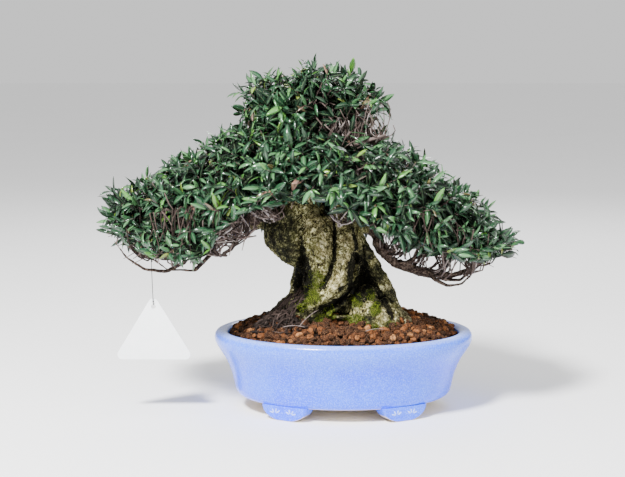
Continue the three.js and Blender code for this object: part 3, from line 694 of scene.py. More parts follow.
def frontGrid(tree, xs, zs):
    # how far back the wood's front lies over a grid of places; nan where there is none
    raw = np.full((len(xs), len(zs)), np.nan)
    for i, x in enumerate(xs):
        for j, z in enumerate(zs):
            hit = tree.ray_cast(Vector((x, -300, z)), Vector((0, 1, 0)))[0]
            if hit and hit.y < 20:
                raw[i, j] = hit.y
    return raw


def blur(grid):
    grid[1:-1, 1:-1] = (grid[1:-1, 1:-1] * 2 + grid[:-2, 1:-1] + grid[2:, 1:-1] + grid[1:-1, :-2]
                        + grid[1:-1, 2:]) / 6


def shapeFront(points, faces):
    # for each point, the step in depth that evens out the front and gives it its strands and hollows
    step = trunk["frontStep"]
    xs, zs = np.arange(*trunk["frontAcross"], step), np.arange(*trunk["frontUp"], step)
    raw = frontGrid(BVHTree.FromPolygons([Vector(p) for p in points], faces), xs, zs)
    seen = ~np.isnan(raw)
    total, weight = np.where(seen, raw, 0), seen.astype(float)
    edge = weight.copy()
    for turn in range(trunk["evenTurns"]):
        for grid in (total, weight) + ((edge,) if turn < trunk["edgeTurns"] else ()):
            blur(grid)
    even = np.where(seen, (total / np.maximum(weight, 1e-6) - raw) * trunk["base"], 0)
    edge = np.clip(edge * 2.2 - 1.2, 0, 1) * seen
    raw = np.where(seen, raw, 400)
    x, y, z = np.array(points).T
    i = np.clip(((x - xs[0]) / step), 0, len(xs) - 1.01)
    j = np.clip(((z - zs[0]) / step), 0, len(zs) - 1.01)
    i0, j0 = i.astype(int), j.astype(int)
    fi, fj = i - i0, j - j0

    def at(grid):
        return ((grid[i0, j0] * (1 - fi) + grid[i0 + 1, j0] * fi) * (1 - fj)
                + (grid[i0, j0 + 1] * (1 - fi) + grid[i0 + 1, j0 + 1] * fi) * fj)

    top, topFade = trunk["fadeTop"]
    left, leftFade = trunk["fadeLeft"]
    right, rightFade = trunk["fadeRight"]
    near = np.clip(1 - (y - at(raw)) / trunk["fadeDeep"], 0, 1) * at(edge)
    near *= (np.clip((top - z) / topFade, 0, 1) * np.clip((x - left) / leftFade, 0, 1)
             * np.clip((right - x) / rightFade, 0, 1))
    return near * (at(even) - frontRelief(x, z) + 3)


def trunkShare(point):
    # 1 on the trunk, falling to 0 along the limbs
    out = math.hypot(point.x - trunk["middle"][0], (point.y - trunk["middle"][1]) * 0.8)
    return clamp((92 - out) / 28) * clamp((226 - point.z) / 24)


def roughWood():
    # the wood's solid with two knobs, joined into one even skin
    bm = bmesh.new()
    bm.from_mesh(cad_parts["trunk_and_branches"].data)
    bmesh.ops.remove_doubles(bm, verts=bm.verts, dist=1e-6)
    bm.transform(toLayout)
    for *at, radius in trunk["knobs"]:
        matrix = Matrix.Translation(at) @ Matrix.Diagonal((0.9, 1, 1.25, 1))
        bmesh.ops.create_icosphere(bm, subdivisions=3, radius=radius, matrix=matrix)
    skin = ("REMESH", {"mode": "VOXEL", "voxel_size": trunk["voxel"], "adaptivity": 0.0})
    soften = ("SMOOTH", {"factor": 0.5, "iterations": trunk["smooth"]})
    return evaluated(meshFrom(bm, "woodStart"), [skin, soften])


def carveBark(bm):
    # the strands and hollows of the front, then lumps, ridges and grain all over
    steps = shapeFront([tuple(v.co) for v in bm.verts], [[v.index for v in f.verts] for f in bm.faces])
    for vert, push in zip(bm.verts, steps):
        vert.co.y += push
    axes = {"use_axis_" + axis: True for axis in "xyz"}
    for _ in range(3):
        bmesh.ops.smooth_vert(bm, verts=bm.verts, factor=0.5, **axes)
    bm.normal_update()
    moved = []
    for vert in bm.verts:
        p = vert.co
        share = trunkShare(p)
        stretched = Vector((p.x, p.y, p.z * 0.6))
        lump = noise.fractal(stretched / 15, 1.0, 2.0, 4)
        ridge = 1 - abs(noise.noise(stretched / 5.2)) * 2
        knob = noise.cell(p / 9) * 0.3
        push = (lump * trunk["coarse"] + ridge * trunk["fine"] + knob) * share
        push += noise.noise(p / 1.9) * trunk["grain"] * mix(0.4, 1, share)
        moved.append(vert.normal * push)
    for vert, step in zip(bm.verts, moved):
        vert.co += step
    bm.normal_update()


def hollowness(bm):
    # how far each point lies behind those round it, evened out
    hollow = {}
    for vert in bm.verts:
        around = [e.other_vert(vert).co for e in vert.link_edges]
        middle = sum(around, Vector()) / len(around)
        hollow[vert.index] = (middle - vert.co).dot(vert.normal)
    for _ in range(5):
        hollow = {v.index: sum(hollow[e.other_vert(v).index] for e in v.link_edges) / len(v.link_edges)
                  for v in bm.verts}
    return hollow


def makeTrunk():
    bm = bmesh.new()
    bm.from_mesh(roughWood())
    carveBark(bm)
    layers = {key: bm.verts.layers.float.new(key) for key in ("moss", "pale", "dark", "crevice", "twig")}
    places = np.array([v.co for v in bm.verts])
    sunk = hollowShare(places[:, 0], places[:, 2])
    hollow = hollowness(bm)
    for vert in bm.verts:
        p = vert.co
        share = trunkShare(p)
        ragged = noise.fractal(p / 6, 1.0, 2.0, 3) * 0.35
        facing = 0.5 + 0.5 * clamp(vert.normal.z + 0.6)
        front = share * clamp(0.6 - vert.normal.y * 2)
        mossy = clamp((nearSpots(p, trunk["mossSpots"]) + ragged) * 1.5 - 0.3)
        vert[layers["moss"]] = mossy * facing * front
        vert[layers["pale"]] = clamp(nearSpots(p, trunk["paleSpots"]) + ragged) * front
        # painted shade at the shaded spots of the front
        vert[layers["dark"]] = clamp(nearSpots(p, trunk["shadedSpots"]) + ragged) * front
        # painted shade in the crevices and hollows, from how hollow the wood is there
        deep = max(hollow[vert.index] * 9 - 0.08, sunk[vert.index] * front * 2.0)
        vert[layers["crevice"]] = clamp(deep + ragged * clamp(deep * 4)) * share
        spot, _, away = limbTree.find(p)
        vert[layers["twig"]] = max(1 - share, clamp((12 - away) / 4) * (spot.x > 26 or spot.x < -84))
    return meshFrom(bm, "wood")


woodMesh = makeTrunk()
woodPoints = [v.co.copy() for v in woodMesh.vertices]
woodTree = BVHTree.FromPolygons(woodPoints, [tuple(p.vertices) for p in woodMesh.polygons])
mossGround = [(co, v.normal.copy(), v.index) for co, v in zip(woodPoints, woodMesh.vertices)]
mossValues = woodMesh.attributes["moss"].data
mossGround = [(co, normal) for co, normal, i in mossGround if mossValues[i].value > 0.4]
newPiece("trunk_wood", woodMesh, [barkMaterial()], ["trunk_and_branches"])

moss = {"seed": 5, "count": 3600, "height": (0.8, 2.4), "radius": 0.42, "tip": 0.12, "tuft": 3.2}


def mossMaterial():
    paint = Paint("moss")
    tone = paint.attribute("tone")
    base = paint.ramp(tone, [(0.0, colour(20, 26, 5)), (0.5, colour(54, 68, 12)),
                             (1.0, colour(122, 136, 38))])
    base = paint.blend(paint.noise(size=4).between(0.44, 0.6) * 0.5, base, colour(40, 48, 12))
    return paint.finish(baseColor=base, roughness=0.95, specularIorLevel=0.1)


def makeMoss():
    rand = random.Random(moss["seed"])
    rod = rodTemplate("mossRod", 4, 1)
    tufts = Copies()
    grown = [(co, normal) for co, normal in mossGround
             if noise.noise(co / moss["tuft"]) > -0.12 and normal.y < 0.5]
    for co, normal in rand.sample(grown, min(moss["count"], len(grown))):
        lean = Vector((rand.uniform(-0.6, 0.6), rand.uniform(-0.6, 0.6), rand.uniform(0, 0.9)))
        tip = co + (normal + lean).normalized() * rand.uniform(*moss["height"])
        tufts.add(rod, rodWarp([co - normal, tip], (moss["radius"], moss["tip"])), rand.random())
    newPiece("moss_tufts", tufts.mesh("mossMesh"), [mossMaterial()])


makeMoss()

# the soil

print("soil")
soil = {
    "seed": 11, "edgeHeight": 74, "moundHeight": 24, "moundPower": 0.8, "halfWidth": 114.2,
    "sink": 2.2, "bottom": [(99, 26), (95.4, 21), (0, 21)], "rings": 24, "steps": 96,
    # loose grains in two layers, and how rough each kind of grain is
    "pitch": 6.1, "grain": (2.7, 4.4), "kinds": 12, "lumps": 0.5, "pits": 0.16, "sharpFrom": 32,
    # crumbs of clay over the fibrous roots at the left: (across, away) of their middle, how far they spread
    "crumbs": 150, "crumb": (1.8, 4), "crumbMiddle": (-66, -42), "crumbSpread": 12, "crumbReach": 26,
}


def ovalReach(x, y):
    # how far out a place is on the pot's oval, as a width
    return math.hypot(x, y / pot["depthRatio"])


def soilHeight(x, y):
    share = min(1, ovalReach(x, y) / soil["halfWidth"])
    return soil["edgeHeight"] + soil["moundHeight"] * (1 - share * share) ** soil["moundPower"]


def clayMaterial():
    paint = Paint("firedClayGrains")
    tone = paint.attribute("tone")
    stain = paint.noise(size=3, detail=4, rough=0.65)
    grit = paint.noise(size=0.7, rough=0.7)
    base = paint.ramp(tone, [(0.0, colour(26, 17, 11)), (0.3, colour(58, 33, 19)), (0.6, colour(98, 56, 28)),
                             (0.85, colour(132, 82, 46)), (1.0, colour(166, 116, 72))])
    base = paint.blend(stain.between(0.52, 0.42) * 0.75, base, colour(34, 21, 16))
    base = paint.blend(grit.between(0.54, 0.62) * 0.45, base, colour(172, 122, 82))
    normal = paint.bump(grit + stain, depth=0.5, strength=0.8)
    return paint.finish(baseColor=base, roughness=0.93, normal=normal, specularIorLevel=0.15)


def earthMaterial():
    paint = Paint("darkEarth")
    crumb = paint.noise(size=3, detail=5, rough=0.7)
    base = paint.ramp(crumb, [(0.3, colour(12, 8, 6)), (0.6, colour(30, 19, 13)), (0.8, colour(56, 36, 25))])
    normal = paint.bump(crumb, depth=2.0)
    return paint.finish(baseColor=base, roughness=0.97, normal=normal, specularIorLevel=0.1)


def grainTemplates(rand):
    kinds = []
    for kind in range(soil["kinds"]):
        bm = bmesh.new()
        bmesh.ops.create_icosphere(bm, subdivisions=2, radius=1)
        shift = Vector((kind * 5.3, kind * 2.1, 0))
        for vert in bm.verts:
            lump = soil["lumps"] * noise.noise(vert.co * 1.2 + shift)
            vert.co *= 1 + lump + soil["pits"] * noise.noise(vert.co * 3.1 + shift)
        stretch = (rand.uniform(0.9, 1.2), rand.uniform(0.8, 1.1), rand.uniform(0.7, 0.95))
        bmesh.ops.scale(bm, verts=bm.verts, vec=stretch)
        kinds.append(Template(bm, f"grain{kind}"))
    return kinds


def turned(rand, tilt=0.0):
    # a random turn about the upright, tilted first where a tilt is given
    spin = Matrix.Rotation(rand.uniform(0, 6.28), 3, "Z")
    return np.array(spin @ Matrix.Rotation(rand.uniform(-tilt, tilt), 3, "X") if tilt else spin)


def addGrain(grains, kind, size, turn, at, tone):
    grains.add(kind, lambda base: base * size @ turn.T + np.array(at), tone)


def scatterGrains(grains, kinds, rand):
    pitch = soil["pitch"]
    count = int(2 * soil["halfWidth"] / pitch) + 2
    cells = [(layer, i, j) for layer in range(2) for i in range(-count, count) for j in range(-count, count)]
    for layer, i, j in cells:
        x = (i + (j % 2) * 0.5 + layer * 0.4) * pitch + rand.uniform(-1.5, 1.5)
        y = (j * 0.87 + layer * 0.5) * pitch + rand.uniform(-1.5, 1.5)
        size = rand.uniform(*soil["grain"]) * (1 if layer else 0.9)
        if ovalReach(x, y) > soil["halfWidth"] - size * 0.7 or layer and rand.random() < 0.35:
            continue
        at = Vector((x, y, soilHeight(x, y) + layer * 2.2 + rand.uniform(-1.2, 1.2) - 1.0))
        near, normal, _, gap = woodTree.find_nearest(at)
        inside = (at - near).dot(normal) < -1 and woodTree.ray_cast(at, Vector((0, 0, 1)))[0]
        if inside and gap > 1.5:
            continue
        turn = turned(rand, 0.6)
        # random tones of the clay, with painted shade making the grains of the lower layer darker
        tone = rand.random() ** 1.7 * (1 if layer else 0.55)
        addGrain(grains, rand.choice(kinds), size, turn, at, tone)


def scatterCrumbs(grains, kinds, rand):
    middleX, middleY = soil["crumbMiddle"]
    for _ in range(soil["crumbs"]):
        x, y = rand.gauss(middleX, soil["crumbSpread"]), rand.gauss(middleY, soil["crumbSpread"])
        size = rand.uniform(*soil["crumb"])
        _, _, _, gap = woodTree.find_nearest(Vector((x, y, soilHeight(x, y) + 2)))
        rise = rand.uniform(0, 6) * clamp(1.6 - math.hypot((x + 62) / 24, (y + 36) / 22))
        if ovalReach(x, y) < 104 and gap < soil["crumbReach"]:
            at = (x, y, soilHeight(x, y) + rise)
            turn = turned(rand)
            addGrain(grains, rand.choice(kinds), size, turn, at, rand.uniform(0, 0.45))


def makeSoil():
    rand = random.Random(soil["seed"])
    reach = [soil["halfWidth"] * i / soil["rings"] for i in range(soil["rings"] + 1)]
    top = [(x, soilHeight(x, 0) - soil["sink"]) for x in reach]
    body = spun(top + soil["bottom"], soil["steps"])
    newPiece("earth", meshFrom(body, "earthMesh"), [earthMaterial()], ["soil"])
    kinds = grainTemplates(rand)
    grains = Copies()
    scatterGrains(grains, kinds, rand)
    scatterCrumbs(grains, kinds, rand)
    piece = newPiece("clay_grains", grains.mesh("grainMesh"), [clayMaterial()])
    piece.data.set_sharp_from_angle(angle=math.radians(soil["sharpFrom"]))


makeSoil()

# the leaves

print("foliage")
umbrella = {
    "middle": -32, "halfLength": 211, "halfDepth": 126, "shoots": 900, "seed": 21, "dead": 0,
    "profile": [(-243, 196, 182), (-222, 223, 164), (-192, 238, 155), (-162, 256, 152), (-132, 271, 158),
                (-102, 288, 168), (-72, 300, 190), (-42, 304, 220), (-12, 300, 222), (18, 288, 200),
                (48, 271, 184), (78, 255, 170), (108, 231, 156), (138, 206, 152), (160, 187, 150),
                (183, 164, 148)],
}
crown = {
    "middle": -33, "halfLength": 75, "halfDepth": 68, "shoots": 230, "seed": 22, "dead": 0.07,
    "profile": [(-110, 308, 296), (-98, 326, 292), (-84, 337, 290), (-58, 341, 288), (-32, 348, 288),
                (-8, 345, 288), (12, 335, 288), (32, 322, 290), (40, 311, 292), (46, 302, 294)],
}
dome = {
    "rimLift": 4, "archPower": 0.8, "hangDrop": 0.5, "depthPull": 1.6, "backDrop": 48,
    # how far under the dome the shoots are placed, how many places are tried for each, and how they thin out
    "inset": 9, "trials": 9, "fullest": 0.97, "gapGrowth": 1.06,
}
branches = [
    ("foliage_left_tip", umbrella, (-206, 0)), ("foliage_left_front", umbrella, (-136, -54)),
    ("foliage_left_back", umbrella, (-136, 56)), ("foliage_front_middle", umbrella, (-42, -66)),
    ("foliage_back_middle", umbrella, (-40, 66)), ("foliage_right_front", umbrella, (52, -54)),
    ("foliage_right_back", umbrella, (56, 58)), ("foliage_right_tip", umbrella, (136, 0)),
    ("foliage_crown_left", crown, (-70, -8)), ("foliage_crown_right", crown, (8, 4)),
]
leaf = {
    "length": (13, 25), "widthRatio": (0.22, 0.31), "thickness": 0.03, "fold": 0.28,
    "curl": (-0.1, 1.3), "twist": 0.9,
    "sections": [0, 0.13, 0.34, 0.58, 0.82, 1], "widths": [0, 0.5, 0.98, 0.96, 0.56, 0],
}
shoot = {
    "depth": (20, 32), "pairs": (3, 5), "stem": (0.75, 0.35), "clump": 15, "clumpReach": 25,
    "vigour": (0.8, 1.1), "swing": 0.9, "missing": 0.08, "fresh": 0.07,
    # leaves further in, near black with painted shade, which stop the view between the shoots
    "inner": 4, "innerWidth": 0.36, "innerCurl": (0, 0.5), "innerTwist": 0.5, "innerShadeTone": (0, 0.12),
    # the tone that marks wood among leaves, and the wood's own tone
    "woodMark": 2.0, "woodTone": 0.6,
}
# a leaf of this tone or more is a dead one; one below the second tone is green
deadTone, greenTone = 0.89, 0.79
# the lowest that leaves hang in front, as (across, height seen from the front); only twigs show below
curtain = [(-260, 10), (-236, 10), (-219, -4), (-186, -13), (-169, -22), (-150, -27), (-138, -17),
           (-125, -11), (-117, 13), (-100, 22), (-89, 25), (-71, 34), (-43, 35), (-19, 27), (5, 19), (28, 6),
           (40, -8), (52, -16), (76, -16), (100, -18), (128, -24), (152, -18), (167, -10), (200, -8)]
# the height at the middle of the view, and the upright and depth shares of a view from 7 degrees up
seenFrom = {"level": 170, "up": 0.9925, "back": 0.1219}
# places where leaves are few and twigs show:
# (across, up, reach across, reach up, share of the leaves left out)
thinSpots = [(-22, 301, 17, 23, 0.92), (14, 284, 25, 21, 0.9), (-98, 306, 12, 12, 0.5),
             (14, 246, 11, 10, 0.8), (-108, 190, 12, 17, 0.7), (-76, 208, 11, 10, 0.45),
             (-164, 182, 10, 12, 0.5), (74, 196, 12, 9, 0.5), (-40, 232, 12, 9, 0.5)]


def profileAt(tier, x):
    rows = tier["profile"]
    for low, high in zip(rows, rows[1:]):
        if x <= high[0] or high is rows[-1]:
            share = clamp((x - low[0]) / (high[0] - low[0]))
            return mix(low[1], high[1], share), mix(low[2], high[2], share)


def domePoint(tier, unit):
    inset = dome["inset"]
    x = tier["middle"] + unit.x * (tier["halfLength"] - inset)
    y = unit.y * (tier["halfDepth"] - inset)
    top, rim = profileAt(tier, x)
    low = rim + dome["rimLift"] - dome["backDrop"] * clamp(unit.y * 2) * clamp(1.3 - abs(x + 22) / 60)
    share = min(1, abs(unit.z) / max(0.001, math.sqrt(max(0, 1 - unit.x * unit.x))))
    return Vector((x, y, low + max(0, top - inset - low) * share ** dome["archPower"]))


def domeBeside(tier, unit, reach):
    # places on the dome beside one, along two lines square to each other
    sideways = Vector((unit.y, -unit.x, tiny)).cross(unit).normalized()
    around = unit.cross(sideways)
    return [domePoint(tier, (unit + axis * reach).normalized()) for axis in (sideways, around)]


def domeNormal(tier, unit):
    ahead, behind = (domeBeside(tier, unit, reach) for reach in (0.03, -0.03))
    normal = (ahead[0] - behind[0]).cross(ahead[1] - behind[1]).normalized()
    return -normal if normal.dot(unit) < 0 else normal


def downhill(tier, point, normal):
    outward = Vector((point.x - tier["middle"], point.y * dome["depthPull"], 0)).normalized()
    outward.z = -dome["hangDrop"]
    return (outward - normal * outward.dot(normal)).normalized()


def underLine(line, point):
    # how far a place lies below a line of (across, height), as seen from the front
    for (x0, low0), (x1, low1) in zip(line, line[1:]):
        if point.x <= x1:
            break
    low = mix(low0, low1, clamp((point.x - x0) / (x1 - x0)))
    return low - (point.z - seenFrom["level"]) * seenFrom["up"] - point.y * seenFrom["back"]


def underCurtain(point):
    return underLine(curtain, point) - (16 if point.y > 20 and point.x < 40 else 0)


def thinned(at):
    # the share of the leaves that is left out at a place
    drops = [0] + [drop for x, z, wide, high, drop in thinSpots
                   if math.hypot((at.x - x) / wide, (at.z - z) / high) < 1]
    return max(drops) if at.y < 12 else 0


def leafTemplate():
    # a lance along X from 0 to 1, half a unit to each side, folded up along its midrib, closed below
    bm = bmesh.new()
    bm.loops.layers.uv.new("leafMap")
    spans = len(leaf["sections"]) - 1
    bmesh.ops.create_grid(bm, x_segments=spans, y_segments=2, size=0.5, calc_uvs=True)
    for vert in bm.verts:
        column = round((vert.co.x + 0.5) * spans)
        side = round(vert.co.y * 2)
        half = leaf["widths"][column] / 2
        vert.co = (leaf["sections"][column], side * half, abs(side) * half * leaf["fold"])
    under = bmesh.ops.duplicate(bm, geom=bm.faces[:])
    bmesh.ops.reverse_faces(bm, faces=[f for f in under["geom"] if isinstance(f, bmesh.types.BMFace)])
    for vert in (v for v in under["geom"] if isinstance(v, bmesh.types.BMVert)):
        if abs(vert.co.y) < 1e-5 and 0.01 < vert.co.x < 0.99:
            vert.co.z -= leaf["thickness"]
    bmesh.ops.remove_doubles(bm, verts=bm.verts, dist=1e-5)
    return Template(bm, "leaf")


def leafWarp(forward, up, length, width, curl, twist, at):
    frameRows = basis(forward, up)
    spot = np.array(at)

    def warp(points):
        x, y, z = points.T
        turn = twist * x
        side = y * np.cos(turn) - z * np.sin(turn)
        rise = y * np.sin(turn) + z * np.cos(turn)
        bend = curl * x
        along = length * np.sinc(bend / np.pi) * x
        drop = length * x * np.sin(bend / 2) * np.sinc(bend / 2 / np.pi)
        local = np.stack([along, side * width, rise * width - drop], 1)
        return local @ frameRows + spot

    return warp


def leafMaterial():
    paint = Paint("glossyLeaf")
    tone = paint.attribute("tone")
    along, side, _ = paint.parts(paint.add("ShaderNodeUVMap", {"uv_map": "leafMap"}))
    across = ((side - 0.5) * 2).size()
    # the lowest tones are painted shade, near black, for leaves deep in the canopy
    green = paint.ramp(tone, [
        (0.0, colour(1, 4, 3)), (0.2, colour(3, 16, 11)), (0.5, colour(24, 61, 37)),
        (0.74, colour(82, 128, 80)), (0.83, colour(70, 122, 36)), (0.89, colour(112, 136, 50)),
        (0.93, colour(92, 84, 44)), (0.97, colour(96, 72, 60)), (1.0, colour(136, 100, 84))])
    green = paint.blend(paint.noise(size=6).between(0.46, 0.7) * 0.3, green, colour(40, 88, 62))
    rib = 1 - across.between(0.02, 0.1)
    veins = (along * 46 - across * 9).sine().between(0.72, 0.98) * (1 - across.between(0.6, 0.95))
    base = paint.blend(rib * 0.3 + veins * 0.1, green, colour(130, 160, 110))
    base = paint.blend(across.between(0.86, 1.0) * 0.2, base, colour(80, 112, 66))
    normal = paint.bump((1 - rib) * 0.6 + (1 - veins) * 0.25, depth=0.35, strength=0.7)
    lit = tone.between(0.08, 0.42)
    rough = across * 0.06 + 0.66 - lit * 0.3
    return paint.finish(baseColor=base, roughness=rough, normal=normal, specularIorLevel=0.1,
                        coatWeight=lit, coatRoughness=0.12)


def twigMaterial():
    paint = Paint("youngTwigs")
    tone = paint.attribute("tone")
    mottle = paint.noise(size=2.4, detail=4, rough=0.6)
    base = paint.ramp(tone, [(0.0, colour(22, 17, 14)), (0.45, colour(64, 52, 47)),
                             (0.8, colour(114, 100, 95)), (1.0, colour(184, 174, 169))])
    base = paint.blend(mottle.between(0.48, 0.62) * 0.5, base, colour(32, 25, 21))
    normal = paint.bump(mottle, depth=0.3)
    return paint.finish(baseColor=base, roughness=0.86, normal=normal, specularIorLevel=0.15)


def leafTone(rand, dead):
    # mostly dark greens, some fresh and a few yellow or dead
    pick = rand.random() + dead
    if pick < 0.93:
        return clamp(rand.gauss(0.44, 0.2), 0.02, 0.78)
    if pick < 0.965:
        return rand.uniform(0.76, 0.88)
    return rand.uniform(0.88, 1.0)


def crowding(tier, unit):
    # how much of the dome's surface lies round a direction
    here = domePoint(tier, unit)
    first, second = domeBeside(tier, unit, 0.02)
    return (first - here).cross(second - here).length


def apart(places, gap):
    # the places that stand at least a gap from the ones kept before them
    taken = {}
    chosen = []
    for unit, at in places:
        i, j, k = (math.floor(c / gap) for c in at)
        beside = (taken.get(key) for key in product((i - 1, i, i + 1), (j - 1, j, j + 1), (k - 1, k, k + 1)))
        if all(other is None or (other - at).length > gap for other in beside):
            taken[i, j, k] = at
            chosen.append((unit, at))
    return chosen


def scatterUnits(tier, rand):
    # directions spread evenly over the dome's real surface
    trials = []
    for _ in range(tier["shoots"] * dome["trials"]):
        height = rand.uniform(0.0, 1.0) ** 1.1
        turn = rand.uniform(0, 2 * math.pi)
        flat = math.sqrt(1 - height * height)
        unit = Vector((flat * math.cos(turn), flat * math.sin(turn), height))
        trials.append((unit, crowding(tier, unit)))
    top = sorted(room for _, room in trials)[int(len(trials) * dome["fullest"])]
    places = [(unit, domePoint(tier, unit)) for unit, room in trials if rand.random() < room / top]
    gap = 1.0
    chosen = places
    while len(chosen) > tier["shoots"]:
        gap *= dome["gapGrowth"]
        chosen = apart(places, gap)
    print(f"{len(chosen)} shoots, {gap:.1f} mm apart")
    return [unit for unit, _ in chosen]


leafMesh = leafTemplate()
stemRod = rodTemplate("stemRod", 4, 4)
twigRod = rodTemplate("twigRod", 4, 5)


def shootLine(outer, normal, hang, rand):
    # the line of a shoot's wood, from under the dome out to its tip
    clump = noise.noise(outer / shoot["clumpReach"]) * shoot["clump"]
    depth = rand.uniform(*shoot["depth"]) - clump * 0.4
    start = outer - normal * depth + hang * rand.uniform(-10, 2)
    aim = hang * rand.uniform(0.3, 1.2) + normal * rand.uniform(0.3, 0.8)
    aim += Vector((0, 0, rand.uniform(0, 0.15)))
    aim = (Matrix.Rotation(rand.gauss(0, shoot["swing"]), 3, normal) @ aim).normalized()
    reach = depth + rand.uniform(-7, 4) + clump * 0.2
    tip = start + normal * reach * 0.66 + aim * reach * 0.5
    lift = normal * 1.5
    return [start, mix(start, tip, 0.3) + lift, mix(start, tip, 0.6) + lift, mix(start, tip, 0.82), tip]


def addInnerLeaf(copies, line, normal, hang, rand):
    at = mix(line[0], line[1], rand.random())
    forward = Matrix.Rotation(rand.uniform(0, 2 * math.pi), 3, normal) @ hang
    forward = (forward + normal * rand.uniform(-0.2, 0.6)).normalized()
    length = rand.uniform(*leaf["length"])
    if max(underCurtain(at), underCurtain(at + forward * length)) >= 0 or rand.random() <= thinned(at):
        return
    up = normal + Vector((rand.uniform(-0.5, 0.5), rand.uniform(-0.5, 0.5), 0.3))
    curl = rand.uniform(*shoot["innerCurl"])
    twist = rand.uniform(-shoot["innerTwist"], shoot["innerTwist"])
    warp = leafWarp(forward, up, length, length * shoot["innerWidth"], curl, twist, at)
    # painted shade: the inner leaves take the near-black tones
    copies.add(leafMesh, warp, rand.uniform(*shoot["innerShadeTone"]))


def growShoot(copies, tier, unit, rand):
    # one leafy shoot; returns where its wood starts and the way that it leaves there
    normal = domeNormal(tier, unit)
    outer = domePoint(tier, unit)
    hang = downhill(tier, outer, normal)
    line = shootLine(outer, normal, hang, rand)
    copies.add(stemRod, rodWarp(line, shoot["stem"]), shoot["woodMark"])
    pairs = rand.randint(*shoot["pairs"])
    turn = rand.uniform(0, math.pi)
    vigour = rand.uniform(*shoot["vigour"])
    fresh = rand.uniform(-shoot["fresh"], shoot["fresh"])
    for _ in range(shoot["inner"]):
        addInnerLeaf(copies, line, normal, hang, rand)
    for pair in range(pairs + 1):
        share = mix(0.25, 1.0, pair / pairs)
        spot = share * (len(line) - 1)
        index = min(int(spot), len(line) - 2)
        at = mix(line[index], line[index + 1], spot - index)
        along = (line[index + 1] - line[index]).normalized()
        side = along.orthogonal().normalized()
        spread = mix(1.4, 0.75, share) + rand.uniform(-0.2, 0.2)
        for half in (0, 1):
            if rand.random() < shoot["missing"]:
                continue
            angle = turn + pair * math.pi / 2 + half * math.pi + rand.uniform(-0.4, 0.4)
            radial = (Matrix.Rotation(angle, 3, along) @ side).normalized()
            forward = along * math.cos(spread) + radial * math.sin(spread) + hang * 0.25
            forward = (forward - Vector((0, 0, 0.06))).normalized()
            up = along * 0.8 + normal * 0.7 + Vector((rand.uniform(-0.8, 0.8), rand.uniform(-0.8, 0.8), 0.4))
            tone = leafTone(rand, tier["dead"])
            length = rand.uniform(*leaf["length"]) * vigour * mix(1.06, 0.8, share ** 2)
            length *= 1 if tone < deadTone else 0.75
            end = at + forward * length
            if max(underCurtain(at), underCurtain(end)) > rand.uniform(0, 6):
                continue
            if rand.random() < max(thinned(at + forward * length * 0.5), thinned(end)):
                continue
            width = length * rand.uniform(*leaf["widthRatio"])
            curl = rand.uniform(*leaf["curl"])
            twist = rand.uniform(-leaf["twist"], leaf["twist"])
            warp = leafWarp(forward, up, length, width, curl, twist, at)
            # painted shade: leaves low on a shoot, deeper under the dome, are made darker
            if tone < greenTone:
                tone = clamp(tone + fresh - max(0, 0.7 - share) * 0.9, 0, 0.8)
            copies.add(leafMesh, warp, tone)
    return line[0], (line[1] - line[0]).normalized()


def markWood(mesh):
    # gives the shoots' wood its own material and tone
    tones = mesh.attributes["tone"].data
    values = np.zeros(len(mesh.vertices), np.float32)
    tones.foreach_get("value", values)
    wood = values > 1.5
    faces = [wood[face.vertices[0]] for face in mesh.polygons]
    mesh.polygons.foreach_set("material_index", np.array(faces, np.int32))
    tones.foreach_set("value", np.where(wood, shoot["woodTone"], values).astype(np.float32))


def makeFoliage():
    looks = [leafMaterial(), twigMaterial()]
    starts = []
    for tier in (umbrella, crown):
        rand = random.Random(tier["seed"])
        own = [(name, Vector((*at, 0)), Copies()) for name, which, at in branches if which is tier]
        for unit in scatterUnits(tier, rand):
            flat = domePoint(tier, unit)
            flat.z = 0
            _, _, copies = min(own, key=lambda branch: (branch[1] - flat).length)
            starts.append(growShoot(copies, tier, unit, rand))
        for name, _, copies in own:
            mesh = copies.mesh(name + "Mesh")
            markWood(mesh)
            newPiece("leaves_" + name.split("_", 1)[1], mesh, looks, [name])
    return starts, looks[1]


shootStarts, twigLook = makeFoliage()

# the twigs between the limbs and the shoots

